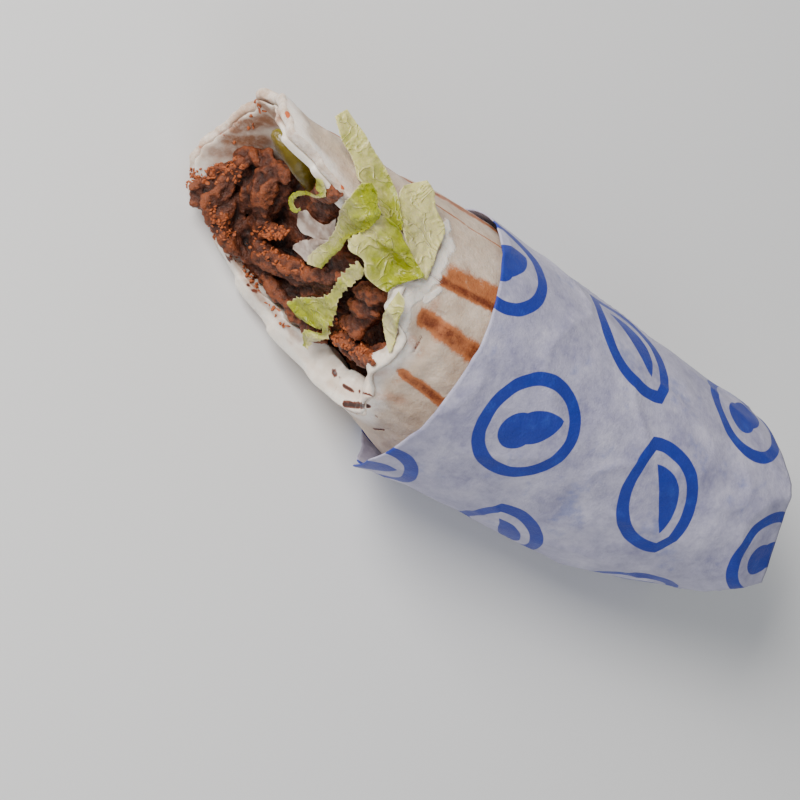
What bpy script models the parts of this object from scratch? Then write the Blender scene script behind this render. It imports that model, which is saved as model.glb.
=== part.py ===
"""A beef wrap: one half of a rolled flatbread, lying on its side in its paper sleeve.

The wrap lies along X. The cut, bare end with its fillings points to -X, and the folded end of the paper to +X.
The sleeve rests on a narrow flat of its own at z = 0. Run it with blender --background --python part.py.
"""

import math

import bmesh
import bpy
import numpy as np
from mathutils import Vector, noise
from mathutils.bvhtree import BVHTree

MM = 0.001
GAP = 0.35 * MM  # left between pieces that touch
SIDES = 44  # of each ring of the paper, bread and sauce
WALL_STEPS = 10  # along each wall of the paper, bread and sauce

# Paper sleeve: a tapering tube, shut at +X by three slanting folds
PAPER_EDGE_X = -22 * MM  # where the paper's open edge crosses the bread
PAPER_RADIUS = 29.2 * MM  # at that edge
PAPER_TAPER = 0.042  # radius lost for each unit of length towards the folded end
PAPER_WALL = 0.5 * MM
PAPER_WAVE = 0.35 * MM  # how far the paper's slack waves lift it
AXIS_SHARE = 0.88  # height of the axis as a share of the radius, which leaves the flat underneath
# How far the open edge stands back from the top's, by angle in degrees from +Y towards +Z, in millimetres
PAPER_EDGE = [(0, 0), (60, 0), (120, 0), (170, 0), (185, 2), (200, 7), (220, 11), (250, 13), (290, 13), (325, 6)]
# The slack belly along the -Y side: x and how far it stands out, in millimetres
BELLY = [(-40, 2.5), (-22, 1.9), (-4, 1.4), (14, 1.4), (30, 1.9), (44, 1.7), (60, -1.0), (80, -6.2)]
BELLY_ANGLE = 184
BELLY_SPREAD = 36
# Folds of the shut end: direction in degrees, x of the crease and the slope in degrees
FOLDS = [(107, 66.5 * MM, 17), (172, 68.9 * MM, 28.6), (20, 80.2 * MM, 16.8)]
END_X = 79.8 * MM
END_SLOPE = -0.416  # how the end's x changes with y

# Flatbread: a slightly oval roll outside the paper, round inside it
BREAD_CENTRE = (2.64 * MM, 27.24 * MM)  # y and z of the bare roll's axis
BREAD_RADII = (24.5 * MM, 26.0 * MM)
BREAD_THICKNESS = 2.3 * MM
BREAD_BACK = -88 * MM  # reach of the hidden end, measured from the paper's edge
BREAD_DENT = 1.8 * MM  # the far wall sags in behind its tip
BREAD_LIP = 0.5 * MM  # how far the rim is rounded out
LAP_STEP = 0.9 * MM  # height of the outer layer's torn edge
# How far the torn rim reaches past the paper's edge: angle in degrees from +Y towards +Z, reach in millimetres
RIM = [
    (-157, 5.5), (-139, 10), (-121, 20), (-105, 30), (-89, 39), (-72, 50), (-58, 52.5), (-48, 53), (-33, 51.7),
    (-20, 52.2), (-8, 52), (4, 54.5), (15, 52.5), (30, 55), (45, 55.5), (58, 54), (66, 46.5), (74, 41),
    (80, 34), (86, 27), (91, 17.5), (99, 19.5), (112, 19), (122, 13), (133, 12.4), (145, 13), (160, 8),
    (180, 3.5),
]

# The cut runs slanting through the roll: reach = CUT_REACH + CUT_SLOPE * distance along CUT_TURN
CUT_REACH = 31 * MM
CUT_SLOPE = 1.1
CUT_TURN = math.radians(-5)
SETTLE = Vector((-0.501, -0.224, 0.836))  # leaves settle on the filling from this side

# Garlic sauce: the lining's thickness by angle, in degrees and millimetres
SAUCE = [
    (-100, 0.8), (-70, 0.8), (-45, 0.9), (-20, 1.4), (5, 1.7), (25, 3.0), (50, 4.2), (70, 3.2), (90, 2.6),
    (112, 2.0), (136, 2.0), (157, 3.6), (177, 5.4), (199, 6.0), (220, 5.6), (240, 3.6), (255, 1.6),
]
SAUCE_DEEP = 1.2 * MM  # thickness further in
SAUCE_SETBACK = 0.7 * MM  # from the rim to the sauce's own edge
SAUCE_LIP = 0.4 * MM

# Beef: one heap that runs through the roll. Its front lies behind the cut, with the pieces that show fused on.
BEEF_SETBACK = 9.5 * MM
BEEF_SETBACK_LOW = 6.5 * MM
BEEF_BACK = -80 * MM
BED_ROOM = 3.4 * MM  # kept over the beef for the lettuce that runs through
# Pieces: two ends as (y, z, height over the cut) and the radius, in millimetres
BEEF_STRIPS = [
    ((17.0, 22.5, -8.5), (12.0, 13.6, -6.6), 3.0),
    ((12.3, 14.2, -7.0), (6.4, 7.8, -4.4), 2.9),
    ((4.4, 7.6, -2.4), (2.8, 12.6, -4.6), 2.5),
    ((3.0, 11.2, -4.6), (-0.6, 18.6, -5.6), 2.4),
    ((-1.8, 10.6, -8.4), (0.2, 24.0, -7.2), 2.2),
    ((0.0, 23.0, -7.4), (1.2, 32.6, -7.2), 2.4),
    ((11.0, 30.2, -7.6), (12.4, 38.2, -7.8), 3.0),
    ((-2.8, 33.4, -7.6), (-1.8, 41.6, -7.8), 2.8),
    ((-5.9, 30.8, -6.4), (-3.4, 38.6, -7.2), 2.6),
]
BEEF_CRUMBS = [
    ((7.6, 7.6, 7.6), (12.4, 10.0, 1.6), 2.5),
    ((4.6, 7.0, 6.6), (9.4, 8.6, 1.6), 2.5),
    ((13.6, 11.2, 0.4), (16.4, 14.0, -2.6), 2.2),
    ((15.4, 12.6, -3.6), (10.2, 9.0, -2.2), 2.1),
    ((19.0, 18.0, -7.0), (15.0, 13.8, -7.4), 2.0),
    ((4.6, 7.0, 7.2), (1.6, 7.2, 1.2), 2.0),
    ((7.6, 7.2, 8.0), (3.0, 6.8, 5.0), 1.9),
    ((-7.0, 22.4, -6.8), (-11.2, 28.6, -5.8), 2.3),
    ((-12.4, 30.0, -5.0), (-10.2, 37.6, -5.8), 2.2),
    ((3.4, 27.8, -9.4), (4.4, 34.6, -9.4), 2.4),
    ((-9.6, 27.2, -5.0), (-11.8, 31.0, -5.2), 2.0),
    ((8.0, 18.4, -11.0), (6.8, 24.6, -11.0), 2.2),
]

# Pickle: one slice laid along the hollow beside the beef, as (y, z, height over the cut)
PICKLE_SPINE = [(20.0, 26.2, -5.0), (18.9, 27.6, -7.2), (17.0, 28.8, -9.6), (15.0, 30.0, -12.5), (12.0, 31.5, -20.0)]
PICKLE_HALF_WIDTH = 2.5 * MM
PICKLE_HALF_THICKNESS = 1.3 * MM

LEAF_THICKNESS = 0.7 * MM
LEAF_CLEAR = 1.0 * MM  # from a leaf's middle to what it lies on
LEAF_SPREAD = 1.7 * MM  # how far round each point a leaf feels for bumps
# Leaves: spine points as (x, y, z, half width) in millimetres, height and number of the ruffles
LEAVES = {
    "lettuce_1": ([(-68.5, 23.4, 49.5, 1.8), (-64.6, 20.2, 49.8, 3.0), (-60.5, 17, 50.2, 3.8), (-56.5, 14, 51, 3.9),
                   (-53, 11.8, 51, 3.3), (-49.5, 10, 49, 2.0)], 0.7, 1.5),
    "lettuce_2": ([(-58.3, 12.1, 50, 2.4), (-57, 8.7, 47, 4.2), (-55.5, 6.3, 43.4, 4.6), (-53.6, 3.9, 37.6, 3.6),
                   (-52.5, 2.0, 31.5, 2.8), (-51.0, 0.9, 26.4, 1.8)], 0.9, 2.0),
    "lettuce_3": ([(-53, 6.3, 52, 2.8), (-50, 4.5, 49.5, 5.0), (-47.5, 3, 48, 5.8), (-45, 1, 47.5, 4.8),
                   (-42.5, -1.6, 47.5, 2.2)], 0.9, 1.5),
    "lettuce_4": ([(-46.4, 19.8, 50, 2.2), (-44.6, 15.9, 49, 4.0), (-43.9, 10.5, 51, 4.5), (-41.5, 5.2, 52, 3.8),
                   (-38.3, 2.2, 52, 1.6)], 0.6, 1.5),
    "lettuce_5": ([(-49.5, 1.7, 43.0, 1.7), (-46.6, -0.9, 37.7, 1.6), (-43.9, -3.4, 30.1, 2.0),
                   (-43.8, -3.8, 24.0, 3.0), (-43.9, -4.4, 18.4, 2.4), (-44.2, -4.6, 15.0, 0.9)], 0.8, 2.5),
    "lettuce_6": ([(-42.0, -5.3, 24.6, 1.2), (-39.5, -8.0, 25.2, 1.6), (-38.2, -10.0, 20.6, 1.7),
                   (-37.4, -11.6, 16.5, 1.0)], 0.4, 1.5),
    "lettuce_7": ([(-60.1, 13.6, 36.8, 0.9), (-58.9, 12.4, 34.8, 1.0), (-58.2, 11.6, 30.0, 1.0),
                   (-57.8, 11.0, 25.4, 1.0), (-56.8, 10.2, 23.0, 0.9), (-56.4, 9.8, 24.4, 0.7)], 0.3, 1.0),
    "lettuce_8": ([(-41.0, -4.8, 47.4, 1.6), (-38.2, -7.4, 44.6, 2.4), (-36.6, -10.2, 42.6, 1.8)], 0.4, 1.0),
    "onion_1": ([(-57.0, 10.4, 26.4, 1.8), (-55.6, 8.4, 27.6, 3.0), (-54.2, 7.0, 30.6, 2.6), (-53.6, 7.4, 34.0, 1.6)],
                0.4, 1.0),
    "onion_2": ([(-52.6, 5.2, 20.6, 1.3), (-51.8, 4.0, 23.2, 1.9), (-52.0, 4.4, 26.4, 1.5)], 0.3, 1.0),
}

BREAD_COLOUR = (0.78, 0.68, 0.56, 1)
PAPER_COLOUR = (0.62, 0.61, 0.70, 1)
SAUCE_COLOUR = (0.83, 0.79, 0.73, 1)
BEEF_COLOUR = (0.17, 0.055, 0.025, 1)
PICKLE_COLOUR = (0.16, 0.14, 0.02, 1)
LETTUCE_COLOUR = (0.42, 0.48, 0.14, 1)
ONION_COLOUR = (0.62, 0.58, 0.55, 1)


def clear_scene():
    for obj in list(bpy.data.objects):
        bpy.data.objects.remove(obj, do_unlink=True)


def material(name, colour, roughness):
    made = bpy.data.materials.new(name)
    made.use_nodes = True
    shader = made.node_tree.nodes["Principled BSDF"]
    shader.inputs["Base Color"].default_value = colour
    shader.inputs["Roughness"].default_value = roughness
    shader.inputs["Metallic"].default_value = 0.0
    return made


def blend(low, high, value):
    """0 up to low, 1 from high, and a smooth ramp between them."""
    share = min(max((value - low) / (high - low), 0.0), 1.0)
    return share * share * (3 - 2 * share)


def mix(a, b, share):
    return a + (b - a) * share


def round_table(table, degrees):
    """A smooth closed curve through a table of (angle, value)."""
    angles = np.array([row[0] for row in table], float)
    values = np.array([row[1] for row in table], float)
    turn = (degrees - angles[0]) % 360
    steps = angles - angles[0]
    after = int(np.searchsorted(steps, turn, side="right"))
    here, there = after - 1, after % len(table)
    span = (steps[there] - steps[here]) % 360
    return mix(values[here], values[there], blend(0, 1, (turn - steps[here]) / span))


def wave(point, size, seed):
    """Smooth noise between about -1 and 1, whose lumps are size across."""
    return noise.noise(Vector(point) / size + Vector((seed * 17.3, seed * 5.1, -seed * 9.7)))


def paper_radius(reach):
    return PAPER_RADIUS + PAPER_TAPER * min(reach, 0.0)


def belly(reach, angle):
    """How far the slack paper stands out, or in where it is negative."""
    stations, heights = zip(*BELLY)
    out = float(np.interp((PAPER_EDGE_X - reach) / MM, stations, heights)) * MM
    turn = (math.degrees(angle) - BELLY_ANGLE + 180) % 360 - 180
    return out * math.exp(-((turn / BELLY_SPREAD) ** 2))


def paper_point(reach, angle, inset):
    """A point of the sleeve, inset towards the axis by the given depth."""
    x = PAPER_EDGE_X - reach
    radius = paper_radius(reach)
    outwards = Vector((0, math.cos(angle), math.sin(angle)))
    lift = PAPER_WAVE * wave((reach, radius * outwards.y, radius * outwards.z), 16 * MM, 1)
    out = radius + belly(reach, angle) + lift
    for toward, crease, slope in FOLDS:
        facing = math.cos(angle - math.radians(toward))
        flat = radius - max(x - crease, 0) * math.tan(math.radians(slope))
        if x > crease and facing > 0.2:
            out = min(out, (flat + PAPER_WAVE) / facing)
    point = outwards * (out - inset) + Vector((x, 0, AXIS_SHARE * radius))
    point.z = max(point.z, inset)
    return point


def paper_edge(angle):
    """Reach of the open edge, which stands back underneath."""
    return -round_table(PAPER_EDGE, math.degrees(angle)) * MM


def bread_section(reach):
    """Centre, radii and lowest height of the roll's section at this reach."""
    bare = blend(-18 * MM, 6 * MM, reach)
    snug = paper_radius(reach) - PAPER_WALL - PAPER_WAVE - GAP
    centre = (mix(0, BREAD_CENTRE[0], bare), mix(AXIS_SHARE * paper_radius(reach), BREAD_CENTRE[1], bare))
    radii = (mix(snug, BREAD_RADII[0], bare), mix(snug, BREAD_RADII[1], bare))
    return centre, radii, PAPER_WALL + GAP


def roll_point(reach, angle, depth):
    """A point of the roll, depth under its outer face."""
    centre, radii, lowest = bread_section(reach)
    turn = (math.degrees(angle) - 15 + 180) % 360 - 180
    dent = BREAD_DENT * math.exp(-((turn / 22) ** 2)) * blend(10, 24, reach / MM) * blend(54, 46, reach / MM)
    inset = depth + dent - min(belly(reach, angle), 0)
    y = centre[0] + (radii[0] - inset) * math.cos(angle)
    z = centre[1] + (radii[1] - inset) * math.sin(angle)
    return Vector((PAPER_EDGE_X - reach, y, max(z, lowest + depth)))


def rim_reach(angle):
    return round_table(RIM, math.degrees(angle)) * MM


def lap_relief(reach, angle):
    """The outer layer ends in a torn edge along the near side, and the bread is thinner past it."""
    degrees = math.degrees(angle) % 360
    edge = 99 + 3 * math.sin(reach / (4 * MM))
    return LAP_STEP * blend(edge - 2, edge + 2, degrees) * blend(200, 150, degrees) * blend(6 * MM, 10 * MM, reach)


def sauce_depth(reach, angle):
    """Depth of the sauce's inner face under the bread's outer face."""
    front = round_table(SAUCE, math.degrees(angle)) * MM
    lumps = 0.22 * front * wave((reach, front, angle * 20 * MM), 9 * MM, 4)
    near_cut = blend(-6 * MM, 10 * MM, reach)
    return BREAD_THICKNESS + GAP + mix(SAUCE_DEEP, front + lumps, near_cut)


def cut_reach(y, z):
    """Reach of the slanting cut at this place of the section."""
    along = (y - BREAD_CENTRE[0]) * math.cos(CUT_TURN) + (z - BREAD_CENTRE[1]) * math.sin(CUT_TURN)
    return CUT_REACH + CUT_SLOPE * along


def cut_point(y, z, height):
    """A point height above the cut, from millimetres."""
    return Vector((PAPER_EDGE_X - cut_reach(y * MM, z * MM) - height * MM, y * MM, z * MM))


def add_mesh(name, points, faces, finish):
    """An object of triangles, with its normals turned outwards."""
    mesh = bpy.data.meshes.new(name)
    work = bmesh.new()
    corners = [work.verts.new(point) for point in points]
    for face in faces:
        work.faces.new([corners[i] for i in face])
    bmesh.ops.recalc_face_normals(work, faces=work.faces)
    work.to_mesh(mesh)
    work.free()
    mesh.shade_smooth()
    mesh.set_sharp_from_angle(angle=math.radians(50))
    mesh.materials.append(finish)
    obj = bpy.data.objects.new(name, mesh)
    bpy.context.scene.collection.objects.link(obj)
    return obj


def skin(name, rows, first_pole, last_pole, turn_row, finish):
    """A closed surface over rings of points. Rings after turn_row run back along the inside of a wall,
    and their squares are split along the same diagonals as the outside's."""
    count = len(rows[0])
    points = [first_pole] + [point for row in rows for point in row] + [last_pole]
    faces = []
    for k in range(count):
        after = (k + 1) % count
        faces.append((0, 1 + after, 1 + k))
        start = 1 + (len(rows) - 1) * count
        faces.append((len(points) - 1, start + k, start + after))
    for r in range(len(rows) - 1):
        for k in range(count):
            a = 1 + r * count + k
            b = 1 + r * count + (k + 1) % count
            c, d = b + count, a + count
            if r < turn_row:
                faces += [(a, b, c), (a, c, d)]
            else:
                faces += [(a, b, d), (b, c, d)]
    return add_mesh(name, points, faces, finish)


def angles_round(count):
    return [math.tau * k / count for k in range(count)]


def along(first, last, steps, crowd):
    """Values from first to last, crowded towards last where crowd is over 1."""
    return [mix(first, last, 1 - (1 - k / steps) ** crowd) for k in range(steps + 1)]


def make_sleeve(finish):
    """Paper sleeve: outside from the folded end to the open edge, and the same way back inside."""
    angles = angles_round(SIDES)

    def end_x(y, inset):
        return END_X + END_SLOPE * y - 1.5 * inset

    def wall(inset):
        rows = []
        for share in along(0, 1, WALL_STEPS, 1.0):
            row = []
            for angle in angles:
                foot = paper_point(PAPER_EDGE_X - END_X, angle, inset)
                reach = mix(PAPER_EDGE_X - end_x(foot.y, inset), paper_edge(angle), share)
                row.append(paper_point(reach, angle, inset))
            rows.append(row)
        return rows

    def cap(inset, last_row):
        centre = Vector((end_x(0, inset), 0, AXIS_SHARE * paper_radius(PAPER_EDGE_X - END_X)))
        return centre, [[centre.lerp(point, share) for point in last_row] for share in (0.34, 0.68, 0.93)]

    wall_out, wall_in = wall(0), wall(PAPER_WALL)
    pole_out, cap_out = cap(0, wall_out[0])
    pole_in, cap_in = cap(PAPER_WALL, wall_in[0])
    outside = cap_out + wall_out
    inside = (cap_in + wall_in)[::-1]
    return skin("paper_sleeve", outside + inside, pole_out, pole_in, len(outside), finish)


def shell(name, back, end_thickness, outer_depth, inner_depth, front, lip, finish):
    """A cup along the roll between two depths, closed at the back and open at the front."""
    angles = angles_round(SIDES)

    def end(depth_at, reach):
        rows = []
        for share in (0.35, 0.75):
            row = []
            for angle in angles:
                centre, _, _ = bread_section(reach)
                middle = Vector((PAPER_EDGE_X - reach, centre[0], centre[1]))
                row.append(middle.lerp(roll_point(reach, angle, depth_at(reach, angle)), share))
            rows.append(row)
        centre, _, _ = bread_section(reach)
        return Vector((PAPER_EDGE_X - reach, centre[0], centre[1])), rows

    def wall(depth_at, reach_back):
        rows = []
        for share in along(0, 1, WALL_STEPS, 1.5):
            row = []
            for angle in angles:
                reach = mix(reach_back, front(angle), share)
                row.append(roll_point(reach, angle, depth_at(reach, angle)))
            rows.append(row)
        return rows

    lip_row = []
    for angle in angles:
        reach = front(angle)
        middle_depth = 0.5 * (outer_depth(reach, angle) + inner_depth(reach, angle))
        lip_row.append(roll_point(reach + lip, angle, middle_depth))
    pole_out, end_out = end(outer_depth, back)
    pole_in, end_in = end(inner_depth, back + end_thickness)
    outside = end_out + wall(outer_depth, back)
    inside = (end_in + wall(inner_depth, back + end_thickness))[::-1]
    return skin(name, outside + [lip_row] + inside, pole_out, pole_in, len(outside), finish)


def bread_depth(reach, angle):
    """Depth of the bread's inner face."""
    return BREAD_THICKNESS


def make_bread(finish):
    return shell(
        "flatbread", BREAD_BACK, BREAD_THICKNESS, lap_relief, bread_depth, rim_reach, BREAD_LIP, finish
    )


def sauce_front(angle):
    return rim_reach(angle) - SAUCE_SETBACK


def sauce_back_depth(reach, angle):
    """Depth of the sauce's outer face, which lies against the bread."""
    return BREAD_THICKNESS + 1.3 * GAP


def make_sauce(finish):
    back = BREAD_BACK + BREAD_THICKNESS + GAP
    return shell("garlic_sauce", back, SAUCE_DEEP, sauce_back_depth, sauce_depth, sauce_front, SAUCE_LIP, finish)


def room_depth(reach, angle):
    """Depth under the bread's outer face at which the space inside the sauce begins."""
    return sauce_depth(reach, angle) + GAP


def bed_depth(reach, angle):
    """The same space without the room for the lettuce that runs through, over the beef."""
    degrees = (math.degrees(angle) + 90) % 360 - 90
    over = blend(30, 60, degrees) * blend(140, 110, degrees)
    return room_depth(reach, angle) + BED_ROOM * over


def core_depth(reach, angle):
    return bed_depth(reach, angle) + 0.5 * MM


def make_beef_core(finish):
    angles = angles_round(30)
    rows = []
    for reach in along(BEEF_BACK, 0, 6, 1.0):
        rows.append([roll_point(reach, angle, core_depth(reach, angle)) for angle in angles])
    centre = Vector((0, *BREAD_CENTRE))
    for share in (1.0, 0.86, 0.68, 0.48, 0.28):
        row = []
        for angle in angles:
            probe = roll_point(12 * MM, angle, core_depth(12 * MM, angle))
            foot = centre.lerp(probe, share)
            hollow = mix(BEEF_SETBACK_LOW, BEEF_SETBACK, blend(10 * MM, 24 * MM, foot.z))
            hollow += 1.5 * MM * wave((foot.y, foot.z, 0), 7 * MM, 9)
            reach = max(min(cut_reach(foot.y, foot.z) - hollow, rim_reach(angle) - 4 * MM), 1.5 * MM)
            edge = roll_point(reach, angle, core_depth(reach, angle))
            foot = centre.lerp(edge, share)
            foot.x = PAPER_EDGE_X - reach
            row.append(foot)
        rows.append(row)
    back_centre, _, _ = bread_section(BEEF_BACK)
    back_pole = Vector((PAPER_EDGE_X - BEEF_BACK, *back_centre))
    front_pole = Vector((PAPER_EDGE_X - CUT_REACH + BEEF_SETBACK, *BREAD_CENTRE))
    return skin("beef", rows, back_pole, front_pole, len(rows), finish)


def nugget(name, first, last, radius, seed):
    """A lump of beef: a ball stretched between two ends and made craggy."""
    made = bmesh.new()
    bmesh.ops.create_icosphere(made, subdivisions=2, radius=1.0)
    axis = last - first
    length = axis.length
    axis.normalize()
    side = axis.cross(Vector((0, 0, 1))).normalized()
    up = side.cross(axis)
    for vert in made.verts:
        craggy = radius * (1 + 0.3 * wave(vert.co, 0.75, seed))
        spot = vert.co * craggy
        bulk = first.lerp(last, 0.5) + axis * (spot.z + vert.co.z * 0.5 * length)
        vert.co = bulk + side * spot.x + up * spot.y
    mesh = bpy.data.meshes.new(name)
    bmesh.ops.recalc_face_normals(made, faces=made.faces)
    made.to_mesh(mesh)
    made.free()
    return bpy.data.objects.new(name, mesh)


def apply_boolean(obj, operation, operand=None, group=None):
    cut = obj.modifiers.new("Boolean", "BOOLEAN")
    cut.operation = operation
    cut.solver = "EXACT"
    if group:
        cut.operand_type = "COLLECTION"
        cut.collection = group
        cut.use_self = True
    else:
        cut.object = operand
    graph = bpy.context.evaluated_depsgraph_get()
    whole = bpy.data.meshes.new_from_object(obj.evaluated_get(graph))
    obj.modifiers.clear()
    old, obj.data = obj.data, whole
    bpy.data.meshes.remove(old)


def make_room():
    """The space inside the sauce, run on past the rim, which trims the beef."""
    angles = angles_round(40)
    rows = []
    for reach in [BEEF_BACK - 2 * MM] + along(-30 * MM, 66 * MM, 16, 1.0):
        rows.append([roll_point(reach, angle, room_depth(reach, angle)) for angle in angles])
    centre = bread_section(BEEF_BACK)[0]
    back = Vector((rows[0][0].x, *centre))
    front = Vector((rows[-1][0].x, *BREAD_CENTRE))
    return skin("room", rows, back, front, len(rows), None)


def keep_largest(obj):
    """Drops the loose scraps that a Boolean leaves."""
    work = bmesh.new()
    work.from_mesh(obj.data)
    left = set(work.verts)
    bodies = []
    while left:
        body, edge = set(), [left.pop()]
        while edge:
            vert = edge.pop()
            body.add(vert)
            for other in (e.other_vert(vert) for e in vert.link_edges):
                if other in left:
                    left.discard(other)
                    edge.append(other)
        bodies.append(body)
    bodies.sort(key=len)
    for body in bodies[:-1]:
        bmesh.ops.delete(work, geom=list(body), context="VERTS")
    work.to_mesh(obj.data)
    work.free()


def make_beef(finish):
    beef = make_beef_core(finish)
    pieces = bpy.data.collections.new("beef_pieces")
    bpy.context.scene.collection.children.link(pieces)
    for k, (first, last, radius) in enumerate(BEEF_STRIPS + BEEF_CRUMBS):
        ends = cut_point(*first), cut_point(*last)
        pieces.objects.link(nugget(f"beef_piece_{k}", *ends, radius * MM, k))
    apply_boolean(beef, "UNION", group=pieces)
    for obj in list(pieces.objects):
        bpy.data.objects.remove(obj, do_unlink=True)
    bpy.data.collections.remove(pieces)
    room = make_room()
    apply_boolean(beef, "INTERSECT", operand=room)
    bpy.data.objects.remove(room, do_unlink=True)
    pickle_room = make_pickle("pickle_room", GAP, None)
    apply_boolean(beef, "DIFFERENCE", operand=pickle_room)
    bpy.data.objects.remove(pickle_room, do_unlink=True)
    keep_largest(beef)
    return beef


def smooth_path(points, count):
    """Points along a Catmull-Rom curve through the given rows of numbers."""
    rows = np.array(points, float)
    padded = np.vstack([2 * rows[0] - rows[1], rows, 2 * rows[-1] - rows[-2]])
    found = []
    for place in np.linspace(0, len(rows) - 1, count):
        k = min(int(place), len(rows) - 2)
        t = place - k
        a, b, c, d = padded[k : k + 4]
        found.append(0.5 * (2 * b + (c - a) * t + (2 * a - 5 * b + 4 * c - d) * t**2 + (3 * b - a - 3 * c + d) * t**3))
    return found


def make_pickle(name, margin, finish):
    """Pickle: a flat slice with rounded edges along its spine, larger all round by the margin."""
    spine = [cut_point(*row) for row in PICKLE_SPINE]
    stations = [Vector(row) for row in smooth_path(spine, 9)]
    rows = []
    for k, spot in enumerate(stations):
        ahead = stations[min(k + 1, 8)] - stations[max(k - 1, 0)]
        side = ahead.cross(SETTLE).normalized()
        up = side.cross(ahead).normalized()
        swell = math.sin(math.pi * (0.12 + 0.76 * k / 8)) ** 0.5
        row = []
        for angle in angles_round(10):
            wide = side * math.cos(angle) * (PICKLE_HALF_WIDTH * swell + margin)
            row.append(spot + wide + up * math.sin(angle) * (PICKLE_HALF_THICKNESS * swell + margin))
        rows.append(row)
    first = stations[0] + (stations[0] - stations[1]).normalized() * (1.0 * MM + margin)
    last = stations[-1] + (stations[-1] - stations[-2]).normalized() * (1.0 * MM + margin)
    return skin(name, rows, first, last, len(rows), finish)


class Ground:
    """What leaves lie on: the triangles of all pieces so far."""

    def __init__(self, objects):
        points, faces = [], []
        for obj in objects:
            base = len(points)
            obj.data.calc_loop_triangles()
            points += [vert.co.copy() for vert in obj.data.vertices]
            faces += [[base + i for i in tri.vertices] for tri in obj.data.loop_triangles]
        self.tree = BVHTree.FromPolygons(points, faces)
        self.side = SETTLE.orthogonal().normalized()
        self.other = SETTLE.cross(self.side)

    def settled(self, point, clear, spread):
        """The point, raised along SETTLE until it and its surroundings clear the ground."""
        top = point.dot(SETTLE)
        for a, b in ((0, 0), (1, 0), (-1, 0), (0, 1), (0, -1), (0.7, 0.7), (-0.7, 0.7), (0.7, -0.7), (-0.7, -0.7)):
            start = point + (self.side * a + self.other * b) * spread + SETTLE * 80 * MM
            hit = self.tree.ray_cast(start, -SETTLE)[0]
            if hit is not None:
                top = max(top, hit.dot(SETTLE) + clear)
        return point + SETTLE * (top - point.dot(SETTLE))


def sheet(name, grid, finish):
    """A thin closed solid over a grid of points, both faces split into triangles alike."""
    rows, columns = len(grid), len(grid[0])
    under = [point for row in grid for point in row]
    points = [point + SETTLE * LEAF_THICKNESS for point in under] + under
    count = len(under)
    faces = []
    for r in range(rows - 1):
        for c in range(columns - 1):
            a = r * columns + c
            b, d = a + 1, a + columns
            e = d + 1
            faces += [(a, b, e), (a, e, d)]
            faces += [(count + a, count + e, count + b), (count + a, count + d, count + e)]
    border = [c for c in range(columns)]
    border += [r * columns + columns - 1 for r in range(1, rows)]
    border += [(rows - 1) * columns + c for c in range(columns - 2, -1, -1)]
    border += [r * columns for r in range(rows - 2, 0, -1)]
    for k, a in enumerate(border):
        b = border[(k + 1) % len(border)]
        faces += [(a, count + a, count + b), (a, count + b, b)]
    return add_mesh(name, points, faces, finish)


def make_leaf(name, spine, ruffle, waves, ground, finish):
    """A leaf or shred: a ruffled strip along its spine, settled on what lies beneath."""
    rows = 12 if len(spine) > 4 else 8
    columns = 6 if max(row[3] for row in spine) > 2.1 else 4
    stations = smooth_path(spine, rows)
    seed = sum(ord(letter) for letter in name)
    grid = []
    for k, station in enumerate(stations):
        centre = Vector(station[:3]) * MM
        ahead = Vector(stations[min(k + 1, rows - 1)][:3] - stations[max(k - 1, 0)][:3])
        side = ahead.cross(SETTLE).normalized()
        row = []
        for c in range(columns):
            across = 2 * c / (columns - 1) - 1
            ragged = 1 + 0.22 * wave((k * 0.9, across, seed), 1.0, 2)
            lift = ruffle * MM * abs(across) * math.sin(waves * math.tau * k / rows + across * 1.3 + seed)
            point = centre + side * across * station[3] * MM * ragged + SETTLE * lift
            row.append(ground.settled(point, LEAF_CLEAR, LEAF_SPREAD))
        grid.append(row)
    return sheet(name, grid, finish)


def make_lettuce_bed(finish):
    """The lettuce that runs through the roll, between the beef and the sauce."""
    grid = []
    for r, reach in enumerate(along(-76 * MM, 8 * MM, 12, 1.0)):
        row = []
        for c in range(7):
            angle = math.radians(62 + 46 * c / 6)
            depth = mix(room_depth(reach, angle), bed_depth(reach, angle), 0.55)
            depth += 0.35 * MM * math.sin(r * 1.9 + c * 1.4)
            row.append(roll_point(reach, angle, depth))
        grid.append(row)
    return sheet("lettuce_bed", grid, finish)


def main():
    clear_scene()
    bread_finish = material("bread", BREAD_COLOUR, 0.7)
    paper_finish = material("paper", PAPER_COLOUR, 0.6)
    sauce_finish = material("sauce", SAUCE_COLOUR, 0.3)
    beef_finish = material("beef", BEEF_COLOUR, 0.55)
    pickle_finish = material("pickle", PICKLE_COLOUR, 0.35)
    lettuce_finish = material("lettuce", LETTUCE_COLOUR, 0.45)
    onion_finish = material("onion", ONION_COLOUR, 0.35)

    make_sleeve(paper_finish)
    lying = [make_bread(bread_finish), make_sauce(sauce_finish), make_beef(beef_finish)]
    lying.append(make_pickle("pickle_slice", 0, pickle_finish))
    lying.append(make_lettuce_bed(lettuce_finish))
    order = ["onion_1", "onion_2", "lettuce_4", "lettuce_8", "lettuce_1", "lettuce_7", "lettuce_3", "lettuce_2"]
    order += ["lettuce_5", "lettuce_6"]
    for name in order:
        spine, ruffle, waves = LEAVES[name]
        finish = onion_finish if name.startswith("onion") else lettuce_finish
        lying.append(make_leaf(name, spine, ruffle, waves, Ground(lying), finish))


main()
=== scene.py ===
# %% [markdown]
# # Half a beef wrap in its paper sleeve
# The wrap is a rolled flatbread, cut in two on a slant, lying in a printed paper sleeve. This lesson dresses
# the plain solids of the part: first the tools, then the paper, the bread, the sauce, the beef, the leaves
# and the crumbs, one piece at a time. Everything is in metres and stands where the solids stand.

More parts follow.
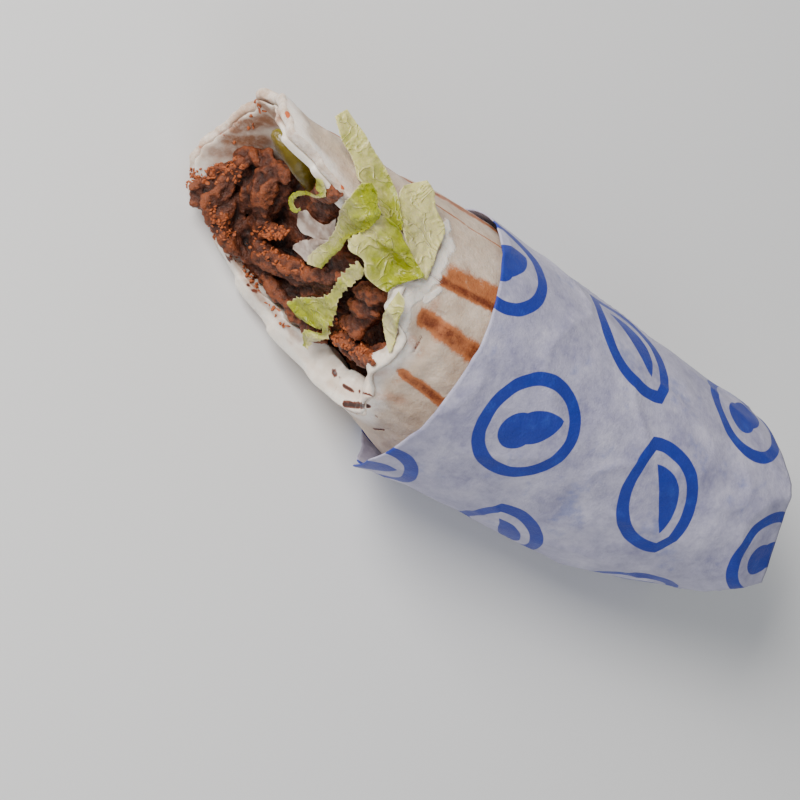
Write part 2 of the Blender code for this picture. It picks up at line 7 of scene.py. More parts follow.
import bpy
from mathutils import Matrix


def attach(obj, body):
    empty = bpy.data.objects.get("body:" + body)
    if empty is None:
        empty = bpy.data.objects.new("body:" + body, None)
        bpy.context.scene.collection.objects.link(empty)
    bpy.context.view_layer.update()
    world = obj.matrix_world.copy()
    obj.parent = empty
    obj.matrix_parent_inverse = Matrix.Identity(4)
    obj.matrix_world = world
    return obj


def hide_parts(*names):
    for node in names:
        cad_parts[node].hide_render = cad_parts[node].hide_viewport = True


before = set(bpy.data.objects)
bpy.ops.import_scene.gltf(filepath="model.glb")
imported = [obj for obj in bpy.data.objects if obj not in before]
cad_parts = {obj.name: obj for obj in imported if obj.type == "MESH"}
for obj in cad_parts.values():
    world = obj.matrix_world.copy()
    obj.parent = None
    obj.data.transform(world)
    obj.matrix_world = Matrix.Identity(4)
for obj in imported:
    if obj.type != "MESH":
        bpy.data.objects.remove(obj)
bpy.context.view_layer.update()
print("solids:", sorted(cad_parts))

# %% Python and Blender modules
import math

import bmesh
import bpy
import numpy as np
from mathutils import Matrix, Vector, noise
from mathutils.bvhtree import BVHTree

MM = 0.001

# %% [markdown]
# ## The camera
# The picture was taken from above the cut end with a long lens. A pixel of the picture is a ray from the
# camera, so small things that the rules below can't place, such as a stain or a crumb, are placed by casting
# the ray of the pixel where they show onto the surface that carries them.

# %% Camera and picture rays
PICTURE_SIDE = 800  # pixels
FOCAL_PIXELS = 1965.6
SENSOR_WIDTH = 36.0
EYE = Vector((-0.227277, -0.108612, 0.375792))
EYE_RIGHT = Vector((0.75436, 0.36014, 0.54885))
EYE_UP = Vector((-0.42394, 0.90562, -0.01156))
EYE_BACK = Vector((-0.50121, -0.22396, 0.83584))
PIXEL = 420 * MM / FOCAL_PIXELS  # one pixel's width at the wrap


def make_camera():
    data = bpy.data.cameras.new("camera")
    data.sensor_width = SENSOR_WIDTH
    data.lens = SENSOR_WIDTH * FOCAL_PIXELS / PICTURE_SIDE
    data.clip_start = 0.01
    camera = bpy.data.objects.new("camera", data)
    bpy.context.scene.collection.objects.link(camera)
    turn = Matrix((EYE_RIGHT, EYE_UP, EYE_BACK)).transposed().to_4x4()
    camera.matrix_world = Matrix.Translation(EYE) @ turn
    bpy.context.scene.camera = camera
    return camera


def picture_ray(px, py):
    """Direction from the camera through a pixel of the picture."""
    half = PICTURE_SIDE / 2
    across = EYE_RIGHT * ((px - half) / FOCAL_PIXELS)
    upwards = EYE_UP * ((half - py) / FOCAL_PIXELS)
    return (across + upwards - EYE_BACK).normalized()


make_camera()
print("camera at", tuple(EYE))

# %% [markdown]
# ## Light and floor
# A soft lamp beyond the cut end models the crags of the beef and leaves the folded end of the sleeve in
# shade. A larger and weaker one on the near side, with a pale sky, fills the shadows.

# %% Lamps, world and floor
KEY_LIGHT = {"from": (-0.80, 0.16, 0.58), "distance": 0.9, "size": 0.42, "power": 12.0,
             "colour": (1.0, 0.97, 0.93)}
FILL_LIGHT = {"from": (0.10, -0.75, 0.65), "distance": 1.0, "size": 0.8, "power": 2.6,
              "colour": (0.93, 0.96, 1.0)}
SKY_COLOUR = (0.93, 0.96, 1.0, 1)
SKY_STRENGTH = 0.33
FLOOR_COLOUR = (0.80, 0.80, 0.80, 1)
FLOOR_ROUGHNESS = 0.8
FLOOR_SIDE = 6.0


def make_lamp(name, plan):
    data = bpy.data.lights.new(name, "AREA")
    data.size = plan["size"]
    data.energy = plan["power"]
    data.color = plan["colour"]
    lamp = bpy.data.objects.new(name, data)
    toward = Vector(plan["from"]).normalized()
    lamp.location = toward * plan["distance"]
    lamp.rotation_euler = toward.to_track_quat("Z", "Y").to_euler()
    bpy.context.scene.collection.objects.link(lamp)


def make_world():
    world = bpy.data.worlds.new("studio")
    world.use_nodes = True
    background = world.node_tree.nodes["Background"]
    background.inputs["Color"].default_value = SKY_COLOUR
    background.inputs["Strength"].default_value = SKY_STRENGTH
    bpy.context.scene.world = world


def make_floor():
    mesh = bpy.data.meshes.new("floor")
    half = FLOOR_SIDE / 2
    corners = [(-half, -half, 0), (half, -half, 0), (half, half, 0), (-half, half, 0)]
    mesh.from_pydata(corners, [], [(0, 1, 2, 3)])
    finish = bpy.data.materials.new("floor")
    finish.use_nodes = True
    shader = finish.node_tree.nodes["Principled BSDF"]
    shader.inputs["Base Color"].default_value = FLOOR_COLOUR
    shader.inputs["Roughness"].default_value = FLOOR_ROUGHNESS
    mesh.materials.append(finish)
    floor = bpy.data.objects.new("floor", mesh)
    bpy.context.scene.collection.objects.link(floor)


make_lamp("key_lamp", KEY_LIGHT)
make_lamp("fill_lamp", FILL_LIGHT)
make_world()
make_floor()
print("two lamps and a floor")

# %% [markdown]
# ## The shapes that the rules describe
# The sleeve, the bread and the sauce are all rings round one axis: a ring's points are given by the reach
# (how far they lie past the paper's open edge), the angle from +Y towards +Z, and the depth under the outer
# face. These are the same rules and sizes as in the solids, with small tears and lumps added.

# %% Smooth steps, tables and noise


def blend(low, high, value):
    """0 up to low, 1 from high, and a smooth ramp between them."""
    share = min(max((value - low) / (high - low), 0.0), 1.0)
    return share * share * (3 - 2 * share)


def mix(a, b, share):
    return a + (b - a) * share


def wave(point, size, seed):
    """Smooth noise between about -1 and 1, whose lumps are size across."""
    return noise.noise(Vector(point) / size + Vector((seed * 17.3, seed * 5.1, -seed * 9.7)))


def turned(degrees, centre):
    """The difference of two angles, between -180 and 180."""
    return (degrees - centre + 180) % 360 - 180


def round_table(table):
    """A smooth closed curve through a table of (angle, value), as a function of the angle in degrees."""
    angles = [row[0] for row in table]
    values = [row[1] for row in table]
    spans = [(angles[(k + 1) % len(table)] - angles[k]) % 360 for k in range(len(table))]

    def value(degrees):
        turn = (degrees - angles[0]) % 360
        k = 0
        while turn > spans[k] and k < len(table) - 1:
            turn -= spans[k]
            k += 1
        return mix(values[k], values[(k + 1) % len(table)], blend(0, 1, turn / spans[k]))

    return value


# %% The sleeve's rules
GAP = 0.35 * MM
PAPER_EDGE_X = -22 * MM
PAPER_RADIUS = 29.2 * MM
PAPER_TAPER = 0.042
PAPER_WALL = 0.5 * MM
PAPER_WAVE = 0.35 * MM
AXIS_SHARE = 0.88
PAPER_EDGE = [
    (0, 0), (60, 0), (120, 0), (170, 0), (185, 2), (200, 7), (220, 11), (250, 13), (290, 13), (325, 6),
]
BELLY = [(-40, 2.5), (-22, 1.9), (-4, 1.4), (14, 1.4), (30, 1.9), (44, 1.7), (60, -1.0), (80, -6.2)]
BELLY_ANGLE = 184
BELLY_SPREAD = 36
FOLDS = [(107, 66.5 * MM, 17), (172, 68.9 * MM, 28.6), (20, 80.2 * MM, 16.8)]
END_X = 79.8 * MM
END_SLOPE = -0.416
paper_edge_back = round_table(PAPER_EDGE)


def paper_radius(reach):
    return PAPER_RADIUS + PAPER_TAPER * min(reach, 0.0)


def belly(reach, angle):
    """How far the slack paper stands out, or in where it is negative."""
    stations, heights = zip(*BELLY)
    out = float(np.interp((PAPER_EDGE_X - reach) / MM, stations, heights)) * MM
    return out * math.exp(-((turned(math.degrees(angle), BELLY_ANGLE) / BELLY_SPREAD) ** 2))


def paper_point(reach, angle, inset):
    """A point of the sleeve, inset towards the axis by the given depth."""
    x = PAPER_EDGE_X - reach
    radius = paper_radius(reach)
    outwards = Vector((0, math.cos(angle), math.sin(angle)))
    lift = PAPER_WAVE * wave((reach, radius * outwards.y, radius * outwards.z), 16 * MM, 1)
    out = radius + belly(reach, angle) + lift
    for toward, crease, slope in FOLDS:
        facing = math.cos(angle - math.radians(toward))
        flat = radius - max(x - crease, 0) * math.tan(math.radians(slope))
        if x > crease and facing > 0.2:
            out = min(out, (flat + PAPER_WAVE) / facing)
    point = outwards * (out - inset) + Vector((x, 0, AXIS_SHARE * radius))
    point.z = max(point.z, inset)
    return point


# %% The roll's rules
BREAD_CENTRE = (2.64 * MM, 27.24 * MM)
BREAD_RADII = (24.5 * MM, 26.0 * MM)
BREAD_THICKNESS = 2.3 * MM
BREAD_BACK = -88 * MM
BREAD_DENT = 1.8 * MM
LAP_STEP = 0.9 * MM
RIM = [
    (-157, 5.5), (-139, 10), (-121, 20), (-105, 30), (-89, 39), (-72, 50), (-58, 52.5), (-48, 53),
    (-33, 51.7), (-20, 52.2), (-8, 52), (4, 54.5), (15, 52.5), (30, 55), (45, 55.5), (58, 54), (66, 46.5),
    (74, 41), (80, 34), (86, 27), (91, 17.5), (99, 19.5), (112, 19), (122, 13), (133, 12.4), (145, 13),
    (160, 8), (180, 3.5),
]
SAUCE = [
    (-100, 0.8), (-70, 0.8), (-45, 0.9), (-20, 1.0), (5, 0.8), (25, 0.7), (50, 1.2), (70, 2.0), (90, 2.6),
    (112, 2.0), (136, 2.0), (157, 3.6), (177, 5.4), (199, 6.0), (220, 5.6), (240, 3.6), (255, 1.6),
]
SAUCE_DEEP = 1.2 * MM
CUT_REACH = 31 * MM
CUT_SLOPE = 1.1
CUT_TURN = math.radians(-5)
BED_ROOM = 3.4 * MM
SETTLE = Vector((-0.501, -0.224, 0.836))
rim_table = round_table(RIM)
sauce_table = round_table(SAUCE)


def bread_section(reach):
    """Centre, radii and lowest height of the roll's section at this reach."""
    bare = blend(-18 * MM, 6 * MM, reach)
    snug = paper_radius(reach) - PAPER_WALL - PAPER_WAVE - GAP
    centre = (mix(0, BREAD_CENTRE[0], bare), mix(AXIS_SHARE * paper_radius(reach), BREAD_CENTRE[1], bare))
    radii = (mix(snug, BREAD_RADII[0], bare), mix(snug, BREAD_RADII[1], bare))
    return centre, radii, PAPER_WALL + GAP


def roll_point(reach, angle, depth):
    """A point of the roll, depth under its outer face."""
    centre, radii, lowest = bread_section(reach)
    turn = turned(math.degrees(angle), 15)
    dent = BREAD_DENT * math.exp(-((turn / 22) ** 2))
    dent *= blend(10, 24, reach / MM) * blend(54, 46, reach / MM)
    inset = depth + dent - min(belly(reach, angle), 0)
    y = centre[0] + (radii[0] - inset) * math.cos(angle)
    z = centre[1] + (radii[1] - inset) * math.sin(angle)
    return Vector((PAPER_EDGE_X - reach, y, max(z, lowest + depth)))


def rim_reach(angle):
    """Reach of the torn rim, with small tears that the solid leaves out."""
    degrees = math.degrees(angle)
    ring = Vector((math.cos(angle), math.sin(angle), 0)) * 25 * MM
    tears = 0.7 * wave(ring, 5 * MM, 21) + 0.4 * wave(ring, 1.6 * MM, 22)
    return (rim_table(degrees) - 0.3 + tears) * MM


def sauce_depth(reach, angle):
    """Depth of the sauce's inner face under the bread's outer face."""
    front = sauce_table(math.degrees(angle)) * MM
    lumps = 0.22 * front * wave((reach, front, angle * 20 * MM), 9 * MM, 4)
    near_cut = blend(-6 * MM, 10 * MM, reach)
    return BREAD_THICKNESS + GAP + mix(SAUCE_DEEP, front + lumps, near_cut)


def cut_reach(y, z):
    """Reach of the slanting cut at this place of the section."""
    aside = (y - BREAD_CENTRE[0]) * math.cos(CUT_TURN) + (z - BREAD_CENTRE[1]) * math.sin(CUT_TURN)
    return CUT_REACH + CUT_SLOPE * aside


def cut_point(y, z, height):
    """A point height above the cut, from millimetres."""
    return Vector((PAPER_EDGE_X - cut_reach(y * MM, z * MM) - height * MM, y * MM, z * MM))


def over_cut(px, py, height):
    """The point of a pixel's ray that lies height millimetres above the cut."""
    ray = picture_ray(px, py)

    def above(distance):
        spot = EYE + ray * distance
        return PAPER_EDGE_X - spot.x - cut_reach(spot.y, spot.z) - height * MM

    near, far = above(0.0), above(1.0)
    return EYE + ray * (near / (near - far))


# %% [markdown]
# ## Meshes from rings
# A thin wall is one closed surface: rings of points along its outside, then the same way back along its
# inside. Building it as one surface keeps it watertight, which thickening an open sheet doesn't promise.

# %% Mesh helpers


def link_mesh(name, points, faces, smooth=True):
    """A mesh object from points and faces, turned outwards."""
    mesh = bpy.data.meshes.new(name)
    mesh.from_pydata([tuple(point) for point in points], [], faces)
    work = bmesh.new()
    work.from_mesh(mesh)
    if work.calc_volume(signed=True) < 0:
        bmesh.ops.reverse_faces(work, faces=work.faces)
    work.to_mesh(mesh)
    work.free()
    if smooth:
        mesh.shade_smooth()
    obj = bpy.data.objects.new(name, mesh)
    bpy.context.scene.collection.objects.link(obj)
    return obj


def ring_surface(name, rows, first_pole, last_pole):
    """A closed surface over rings of points that all have the same count."""
    count = len(rows[0])
    points = [first_pole] + [point for row in rows for point in row] + [last_pole]
    start = 1 + (len(rows) - 1) * count
    faces = []
    for k in range(count):
        after = (k + 1) % count
        faces.append((0, 1 + k, 1 + after))
        faces.append((len(points) - 1, start + after, start + k))
    for r in range(len(rows) - 1):
        base = 1 + r * count
        for k in range(count):
            after = (k + 1) % count
            faces.append((base + k, base + count + k, base + count + after, base + after))
    return link_mesh(name, points, faces)


def add_values(obj, name, values):
    """Keeps one number for each point of the mesh, for its material to read."""
    kept = obj.data.attributes.new(name, "FLOAT", "POINT")
    kept.data.foreach_set("value", np.asarray(values, np.float32))


def point_array(obj):
    found = np.empty(len(obj.data.vertices) * 3, np.float32)
    obj.data.vertices.foreach_get("co", found)
    return found.reshape(-1, 3).astype(float)


def triangle_count(obj):
    return sum(face.loop_total - 2 for face in obj.data.polygons)


def surface_tree(obj):
    """A search tree of the object's faces, for casting rays onto it."""
    obj.data.calc_loop_triangles()
    points = [vert.co.copy() for vert in obj.data.vertices]
    return BVHTree.FromPolygons(points, [tuple(tri.vertices) for tri in obj.data.loop_triangles])


def first_hit(trees, px, py):
    """The nearest point of several surfaces on a pixel's ray, or None."""
    hits = [tree.ray_cast(EYE, picture_ray(px, py)) for tree in trees]
    hits = [(hit[3], hit[0]) for hit in hits if hit[0] is not None]
    return min(hits, key=lambda hit: hit[0])[1] if hits else None


STROKE_STEP = 4  # pixels between the rays of a stroke


def strokes(obj, trees, marks):
    """Painted strokes as a value for each point. A mark is (pixel, pixel, half width in pixels, strength).
    It is cast onto the nearest of the surfaces in short steps, so that it follows them."""
    points = point_array(obj)
    painted = np.zeros(len(points))
    for first, last, half_width, strength in marks:
        count = max(round(math.dist(first, last) / STROKE_STEP), 1)
        hits = [first_hit(trees, mix(first[0], last[0], k / count), mix(first[1], last[1], k / count))
                for k in range(count + 1)]
        hits = [np.array(hit) for hit in hits if hit is not None]
        for start, end in zip(hits, hits[1:]):
            line = end - start
            share = np.clip(((points - start) @ line) / max(line @ line, 1e-12), 0, 1)
            aside = points - start - share[:, None] * line
            away = np.linalg.norm(aside, axis=1) / (half_width * PIXEL)
            painted = np.maximum(painted, strength * np.clip(1.5 - away, 0, 1) ** 1.5)
    return painted


# %% [markdown]
# ## Finishes
# Every finish is a small tree of nodes. Mottling and speckles come back in many of them, so each is a node
# group that is built once and placed with its own sizes. Noise is read from Object coordinates, in metres.

# %% Node helpers


def plug(tree, value, socket):
    if isinstance(value, bpy.types.NodeSocket):
        tree.links.new(value, socket)
    else:
        socket.default_value = value


def calc(tree, operation, a, b=0.0, c=0.0, clamp=False):
    node = tree.nodes.new("ShaderNodeMath")
    node.operation = operation
    node.use_clamp = clamp
    for socket, value in zip(node.inputs, (a, b, c)):
        plug(tree, value, socket)
    return node.outputs[0]


def ramp(tree, value, low, high, first=0.0, last=1.0):
    node = tree.nodes.new("ShaderNodeMapRange")
    node.interpolation_type = "SMOOTHSTEP"
    for socket, number in zip(node.inputs, (value, low, high, first, last)):
        plug(tree, number, socket)
    return node.outputs[0]


def tint(tree, share, first, second, how="MIX"):
    node = tree.nodes.new("ShaderNodeMix")
    node.data_type = "RGBA"
    node.blend_type = how
    plug(tree, share, node.inputs["Factor"])
    colours = [socket for socket in node.inputs if socket.type == "RGBA"]
    plug(tree, first, colours[0])
    plug(tree, second, colours[1])
    return next(socket for socket in node.outputs if socket.type == "RGBA")


def cloud(tree, place, size, detail=3.0, rough=0.5, distort=0.0):
    """Noise whose lumps are size metres across."""
    node = tree.nodes.new("ShaderNodeTexNoise")
    node.inputs["Scale"].default_value = 1 / size if not isinstance(size, bpy.types.NodeSocket) else 1
    node.inputs["Detail"].default_value = detail
    node.inputs["Roughness"].default_value = rough
    node.inputs["Distortion"].default_value = distort
    if isinstance(size, bpy.types.NodeSocket):
        plug(tree, calc(tree, "DIVIDE", 1.0, size), node.inputs["Scale"])
    plug(tree, place, node.inputs["Vector"])
    return node.outputs["Fac"]


def cells(tree, place, size):
    """Distance to the nearest of scattered points that are about size apart, as a share of it."""
    node = tree.nodes.new("ShaderNodeTexVoronoi")
    if isinstance(size, bpy.types.NodeSocket):
        plug(tree, calc(tree, "DIVIDE", 1.0, size), node.inputs["Scale"])
    else:
        node.inputs["Scale"].default_value = 1 / size
    plug(tree, place, node.inputs["Vector"])
    return node.outputs["Distance"]


def srgb(red, green, blue):
    """A colour as a shader wants it, from the 0 to 255 values of a picture."""

    def linear(value):
        share = value / 255
        return share / 12.92 if share <= 0.04045 else ((share + 0.055) / 1.055) ** 2.4

    return linear(red), linear(green), linear(blue), 1.0


# %% Node groups that the finishes share


def new_group(name, inputs, outputs):
    """An empty shader node group with number inputs that have defaults, and number outputs."""
    group = bpy.data.node_groups.new(name, "ShaderNodeTree")
    group.interface.new_socket("Place", in_out="INPUT", socket_type="NodeSocketVector")
    for label, value in inputs.items():
        socket = group.interface.new_socket(label, in_out="INPUT", socket_type="NodeSocketFloat")
        socket.default_value = value
    for label in outputs:
        group.interface.new_socket(label, in_out="OUTPUT", socket_type="NodeSocketFloat")
    return group, group.nodes.new("NodeGroupInput"), group.nodes.new("NodeGroupOutput")


def use_group(tree, group, place, **values):
    node = tree.nodes.new("ShaderNodeGroup")
    node.node_tree = group
    plug(tree, place, node.inputs["Place"])
    for label, value in values.items():
        plug(tree, value, node.inputs[label])
    return node


def build_mottle():
    """Soft uneven patches: large clouds broken up by small ones, from 0 to 1."""
    group, start, end = new_group("mottle", {"Size": 0.008, "Contrast": 1.0}, ["Value"])
    place, size = start.outputs["Place"], start.outputs["Size"]
    large = cloud(group, place, size, 4.0, 0.6)
    small = cloud(group, place, calc(group, "MULTIPLY", size, 0.17), 3.0, 0.6)
    both = calc(group, "ADD", calc(group, "MULTIPLY", large, 0.7), calc(group, "MULTIPLY", small, 0.3))
    lifted = calc(group, "MULTIPLY_ADD", calc(group, "SUBTRACT", both, 0.5), start.outputs["Contrast"], 0.5)
    plug(group, calc(group, "MINIMUM", calc(group, "MAXIMUM", lifted, 0.0), 1.0), end.inputs["Value"])
    return group


def build_speckle():
    """Scattered small spots of uneven size: 1 inside a spot and 0 outside."""
    group, start, end = new_group("speckle", {"Size": 0.004, "Spot": 0.2, "Share": 0.5}, ["Mask"])
    place, size = start.outputs["Place"], start.outputs["Size"]
    near = cells(group, place, size)
    frayed = cloud(group, place, calc(group, "MULTIPLY", size, 0.15), 2.0)
    ragged = calc(group, "MULTIPLY_ADD", frayed, 0.16, near)
    patch = cloud(group, place, calc(group, "MULTIPLY", size, 3.0), 1.0)
    chosen = ramp(group, patch, calc(group, "SUBTRACT", 1.0, start.outputs["Share"]), 1.0)
    limit = calc(group, "MULTIPLY", start.outputs["Spot"], calc(group, "ADD", chosen, 0.08))
    inside = calc(group, "SUBTRACT", calc(group, "ADD", limit, 0.07), ragged)
    plug(group, ramp(group, inside, -0.02, 0.03), end.inputs["Mask"])
    return group


MOTTLE = build_mottle()
SPECKLE = build_speckle()
print("node groups:", MOTTLE.name, SPECKLE.name)


# %% Material helpers


def new_finish(name, roughness, specular=0.5):
    """A material, its tree, its shader and its Object coordinates."""
    finish = bpy.data.materials.new(name)
    finish.use_nodes = True
    tree = finish.node_tree
    shader = tree.nodes["Principled BSDF"]
    shader.inputs["Roughness"].default_value = roughness
    shader.inputs["Specular IOR Level"].default_value = specular
    place = tree.nodes.new("ShaderNodeTexCoord").outputs["Object"]
    return finish, tree, shader, place


def mottled(tree, place, size, contrast):
    return use_group(tree, MOTTLE, place, Size=size, Contrast=contrast).outputs["Value"]


def speckled(tree, place, size, spot, share):
    return use_group(tree, SPECKLE, place, Size=size, Spot=spot, Share=share).outputs["Mask"]


def uneven(tree, value, mottling, amount):
    """The value, raised and lowered by half the amount at most."""
    return calc(tree, "MULTIPLY_ADD", calc(tree, "SUBTRACT", mottling, 0.5), amount, value)


def point_value(tree, name):
    node = tree.nodes.new("ShaderNodeAttribute")
    node.attribute_name = name
    return node.outputs["Fac"]


def soft_light(shader, weight, radius, scale):
    """Light that enters the surface and leaves it a little way off."""
    shader.inputs["Subsurface Weight"].default_value = weight
    shader.inputs["Subsurface Radius"].default_value = radius
    shader.inputs["Subsurface Scale"].default_value = scale


def relief(tree, shader, height, distance, strength=1.0):
    node = tree.nodes.new("ShaderNodeBump")
    node.inputs["Distance"].default_value = distance
    node.inputs["Strength"].default_value = strength
    plug(tree, height, node.inputs["Height"])
    tree.links.new(node.outputs["Normal"], shader.inputs["Normal"])


# %% [markdown]
# ## Paper sleeve
# Greaseproof paper, printed in blue and wound round the roll, then folded shut at the far end. It could be a
# cloth simulation, but paper hardly stretches, so its form is given by the same rings as the solid, with
# finer creases. The print is drawn by the material: two outlined figures, a leaf and a ring with a drop, set
# like bricks on the unrolled paper. Distances to their outlines are arithmetic, so the lines stay sharp.

# %% Sleeve shape
PAPER_COLUMNS = 240
PAPER_ROWS = 130
PAPER_SHEET = 0.28 * MM  # thickness of the folded sheet that shows
PAPER_LIP = 0.4 * MM  # how far the open edge curls away from the roll
PAPER_FRAY = 0.25 * MM  # how uneven the open edge is
CAP_ROWS = 16
BOTTOM = math.radians(-90)
PRINT_START = math.radians(150)  # where round the sleeve the print begins
CAP_PRINT = (120 * MM, 14 * MM)  # which part of the print lies on the folded end
# Flaps of the folded end: a direction on it, as y and z, and the distance of the fold from its middle in mm
FOLD_FLAPS = [(0.55, -0.84, 4.0), (-0.35, -0.94, -6.0), (0.98, 0.2, -9.0)]


def paper_creases(x, arc):
    """Small creases of the sheet, at unrolled millimetres."""
    spot = Vector((x * 0.55, arc, 0))
    ridge = 1 - abs(noise.noise(spot / 17 + Vector((3, 9, 1)))) * 3.2
    sharp = max(ridge, 0) ** 3
    near_end = blend(46, 84, x)
    pucker = noise.noise(Vector((x / 14, arc / 5.5, 7)))
    dent = noise.noise(Vector((x / 9, arc / 9, 3)))
    return (0.42 * sharp + 0.3 * dent + 0.5 * near_end * pucker) * MM


def paper_rows(inset):
    rows = []
    for r in range(PAPER_ROWS + 1):
        share = r / PAPER_ROWS
        row = []
        for k in range(PAPER_COLUMNS):
            angle = BOTTOM + math.tau * k / PAPER_COLUMNS
            foot = paper_point(PAPER_EDGE_X - END_X, angle, inset)
            end_reach = PAPER_EDGE_X - (END_X + END_SLOPE * foot.y - 1.5 * inset)
            edge_reach = -paper_edge_back(math.degrees(angle)) * MM
            edge_reach += PAPER_FRAY * wave((angle, 0, 0), 0.12, 5)
            reach = mix(end_reach, edge_reach, share)
            x = (PAPER_EDGE_X - reach) / MM
            lift = paper_creases(x, angle * PAPER_RADIUS / MM)
            under = blend(4 * MM, 9 * MM, paper_point(reach, angle, inset).z)
            degrees = math.degrees(angle) % 360
            lip = PAPER_LIP * blend(5 * MM, 0, edge_reach - reach) * blend(150, 185, degrees)
            lip *= blend(300, 260, degrees)
            row.append(paper_point(reach, angle, inset - (lift + lip) * under))
        rows.append(row)
    return rows


def paper_cap(row):
    """The folded end, from its middle out to the last ring: flaps that lie over each other."""
    centre = sum(row, Vector()) / len(row)
    rows = []
    for r in range(1, CAP_ROWS):
        share = 1 - (1 - r / CAP_ROWS) ** 1.6
        ring = []
        for point in row:
            spot = centre.lerp(point, share)
            y, z = spot.y / MM, (spot.z - centre.z) / MM
            flap = sum(blend(-0.35, 0.35, y * a + z * b - c) for a, b, c in FOLD_FLAPS)
            crumple = 0.9 * wave(spot, 8 * MM, 31) + 0.4 * wave(spot, 3.5 * MM, 32)
            spot.x += ((flap - 1.6) * 0.55 + crumple) * MM * blend(1.0, 0.82, share)
            ring.append(spot)
        rows.append(ring)
    centre.x += 0.2 * MM
    return centre, rows


def make_sleeve():
    """The sleeve, with its unrolled place kept as a UV map for the print."""
    outside, inside = paper_rows(0), paper_rows(PAPER_SHEET)
    middle_out, cap_out = paper_cap(outside[0])
    middle_in, cap_in = paper_cap([point - Vector((PAPER_SHEET, 0, 0)) for point in inside[0]])
    rows = cap_out + outside + inside[::-1] + cap_in[::-1]
    sleeve = ring_surface("paper_sleeve_skin", rows, middle_out, middle_in - Vector((PAPER_SHEET, 0, 0)))
    layer = sleeve.data.uv_layers.new(name="unrolled")
    vertex = np.empty(len(sleeve.data.loops), np.int32)
    sleeve.data.loops.foreach_get("vertex_index", vertex)
    points = point_array(sleeve)
    column = (vertex - 1) % PAPER_COLUMNS
    ring = (vertex - 1) // PAPER_COLUMNS
    face = np.repeat(np.arange(len(sleeve.data.polygons)), [p.loop_total for p in sleeve.data.polygons])
    wraps = np.zeros(len(sleeve.data.polygons), bool)
    np.logical_or.at(wraps, face, column == PAPER_COLUMNS - 1)
    column = np.where(wraps[face] & (column == 0), PAPER_COLUMNS, column)
    angle = BOTTOM + math.tau * column / PAPER_COLUMNS
    x = points[vertex, 0]
    radius = PAPER_RADIUS + PAPER_TAPER * np.minimum(PAPER_EDGE_X - x, 0)
    place = np.stack([x, (angle - PRINT_START) * radius], 1)
    on_cap = (ring < len(cap_out)) | (ring >= len(rows) - len(cap_in)) | (vertex == 0)
    flat = np.stack([points[vertex, 1] + CAP_PRINT[0], points[vertex, 2] + CAP_PRINT[1]], 1)
    capped = np.zeros(len(wraps), bool)
    np.logical_or.at(capped, face, on_cap)
    place = np.where(capped[face][:, None], flat, place)
    layer.data.foreach_set("uv", place.astype(np.float32).ravel())
    return sleeve


paper_sleeve = make_sleeve()
print("sleeve:", triangle_count(paper_sleeve), "triangles")

# %% Print of the paper, as a node group
MOTIF_PITCH = (41 * MM, 31 * MM)  # along and round the sleeve
LINE = 3.0 * MM  # width of the printed outline
LEAF_HALF = (10.2 * MM, 15.4 * MM)  # half width and half length of the outlined leaf
RING_RADIUS = 12.6 * MM


def pointed_oval(tree, x, y, half_width, half_length):
    """Signed distance to a leaf shape made by two arcs: negative inside."""
    radius = (half_width**2 + half_length**2) / (2 * half_width)
    aside = calc(tree, "ADD", calc(tree, "ABSOLUTE", x), radius - half_width)
    return calc(tree, "SUBTRACT", calc(tree, "SQRT", squares(tree, aside, y)), radius)


def squares(tree, x, y):
    return calc(tree, "MULTIPLY_ADD", x, x, calc(tree, "MULTIPLY", y, y))


def disc(tree, x, y, cx, cy, radius):
    dx, dy = calc(tree, "SUBTRACT", x, cx), calc(tree, "SUBTRACT", y, cy)
    return calc(tree, "SUBTRACT", calc(tree, "SQRT", squares(tree, dx, dy)), radius)


def outline(tree, distance, width):
    """Distance to the band that lies just inside an outline."""
    middle = calc(tree, "ADD", distance, width / 2)
    return calc(tree, "SUBTRACT", calc(tree, "ABSOLUTE", middle), width / 2)


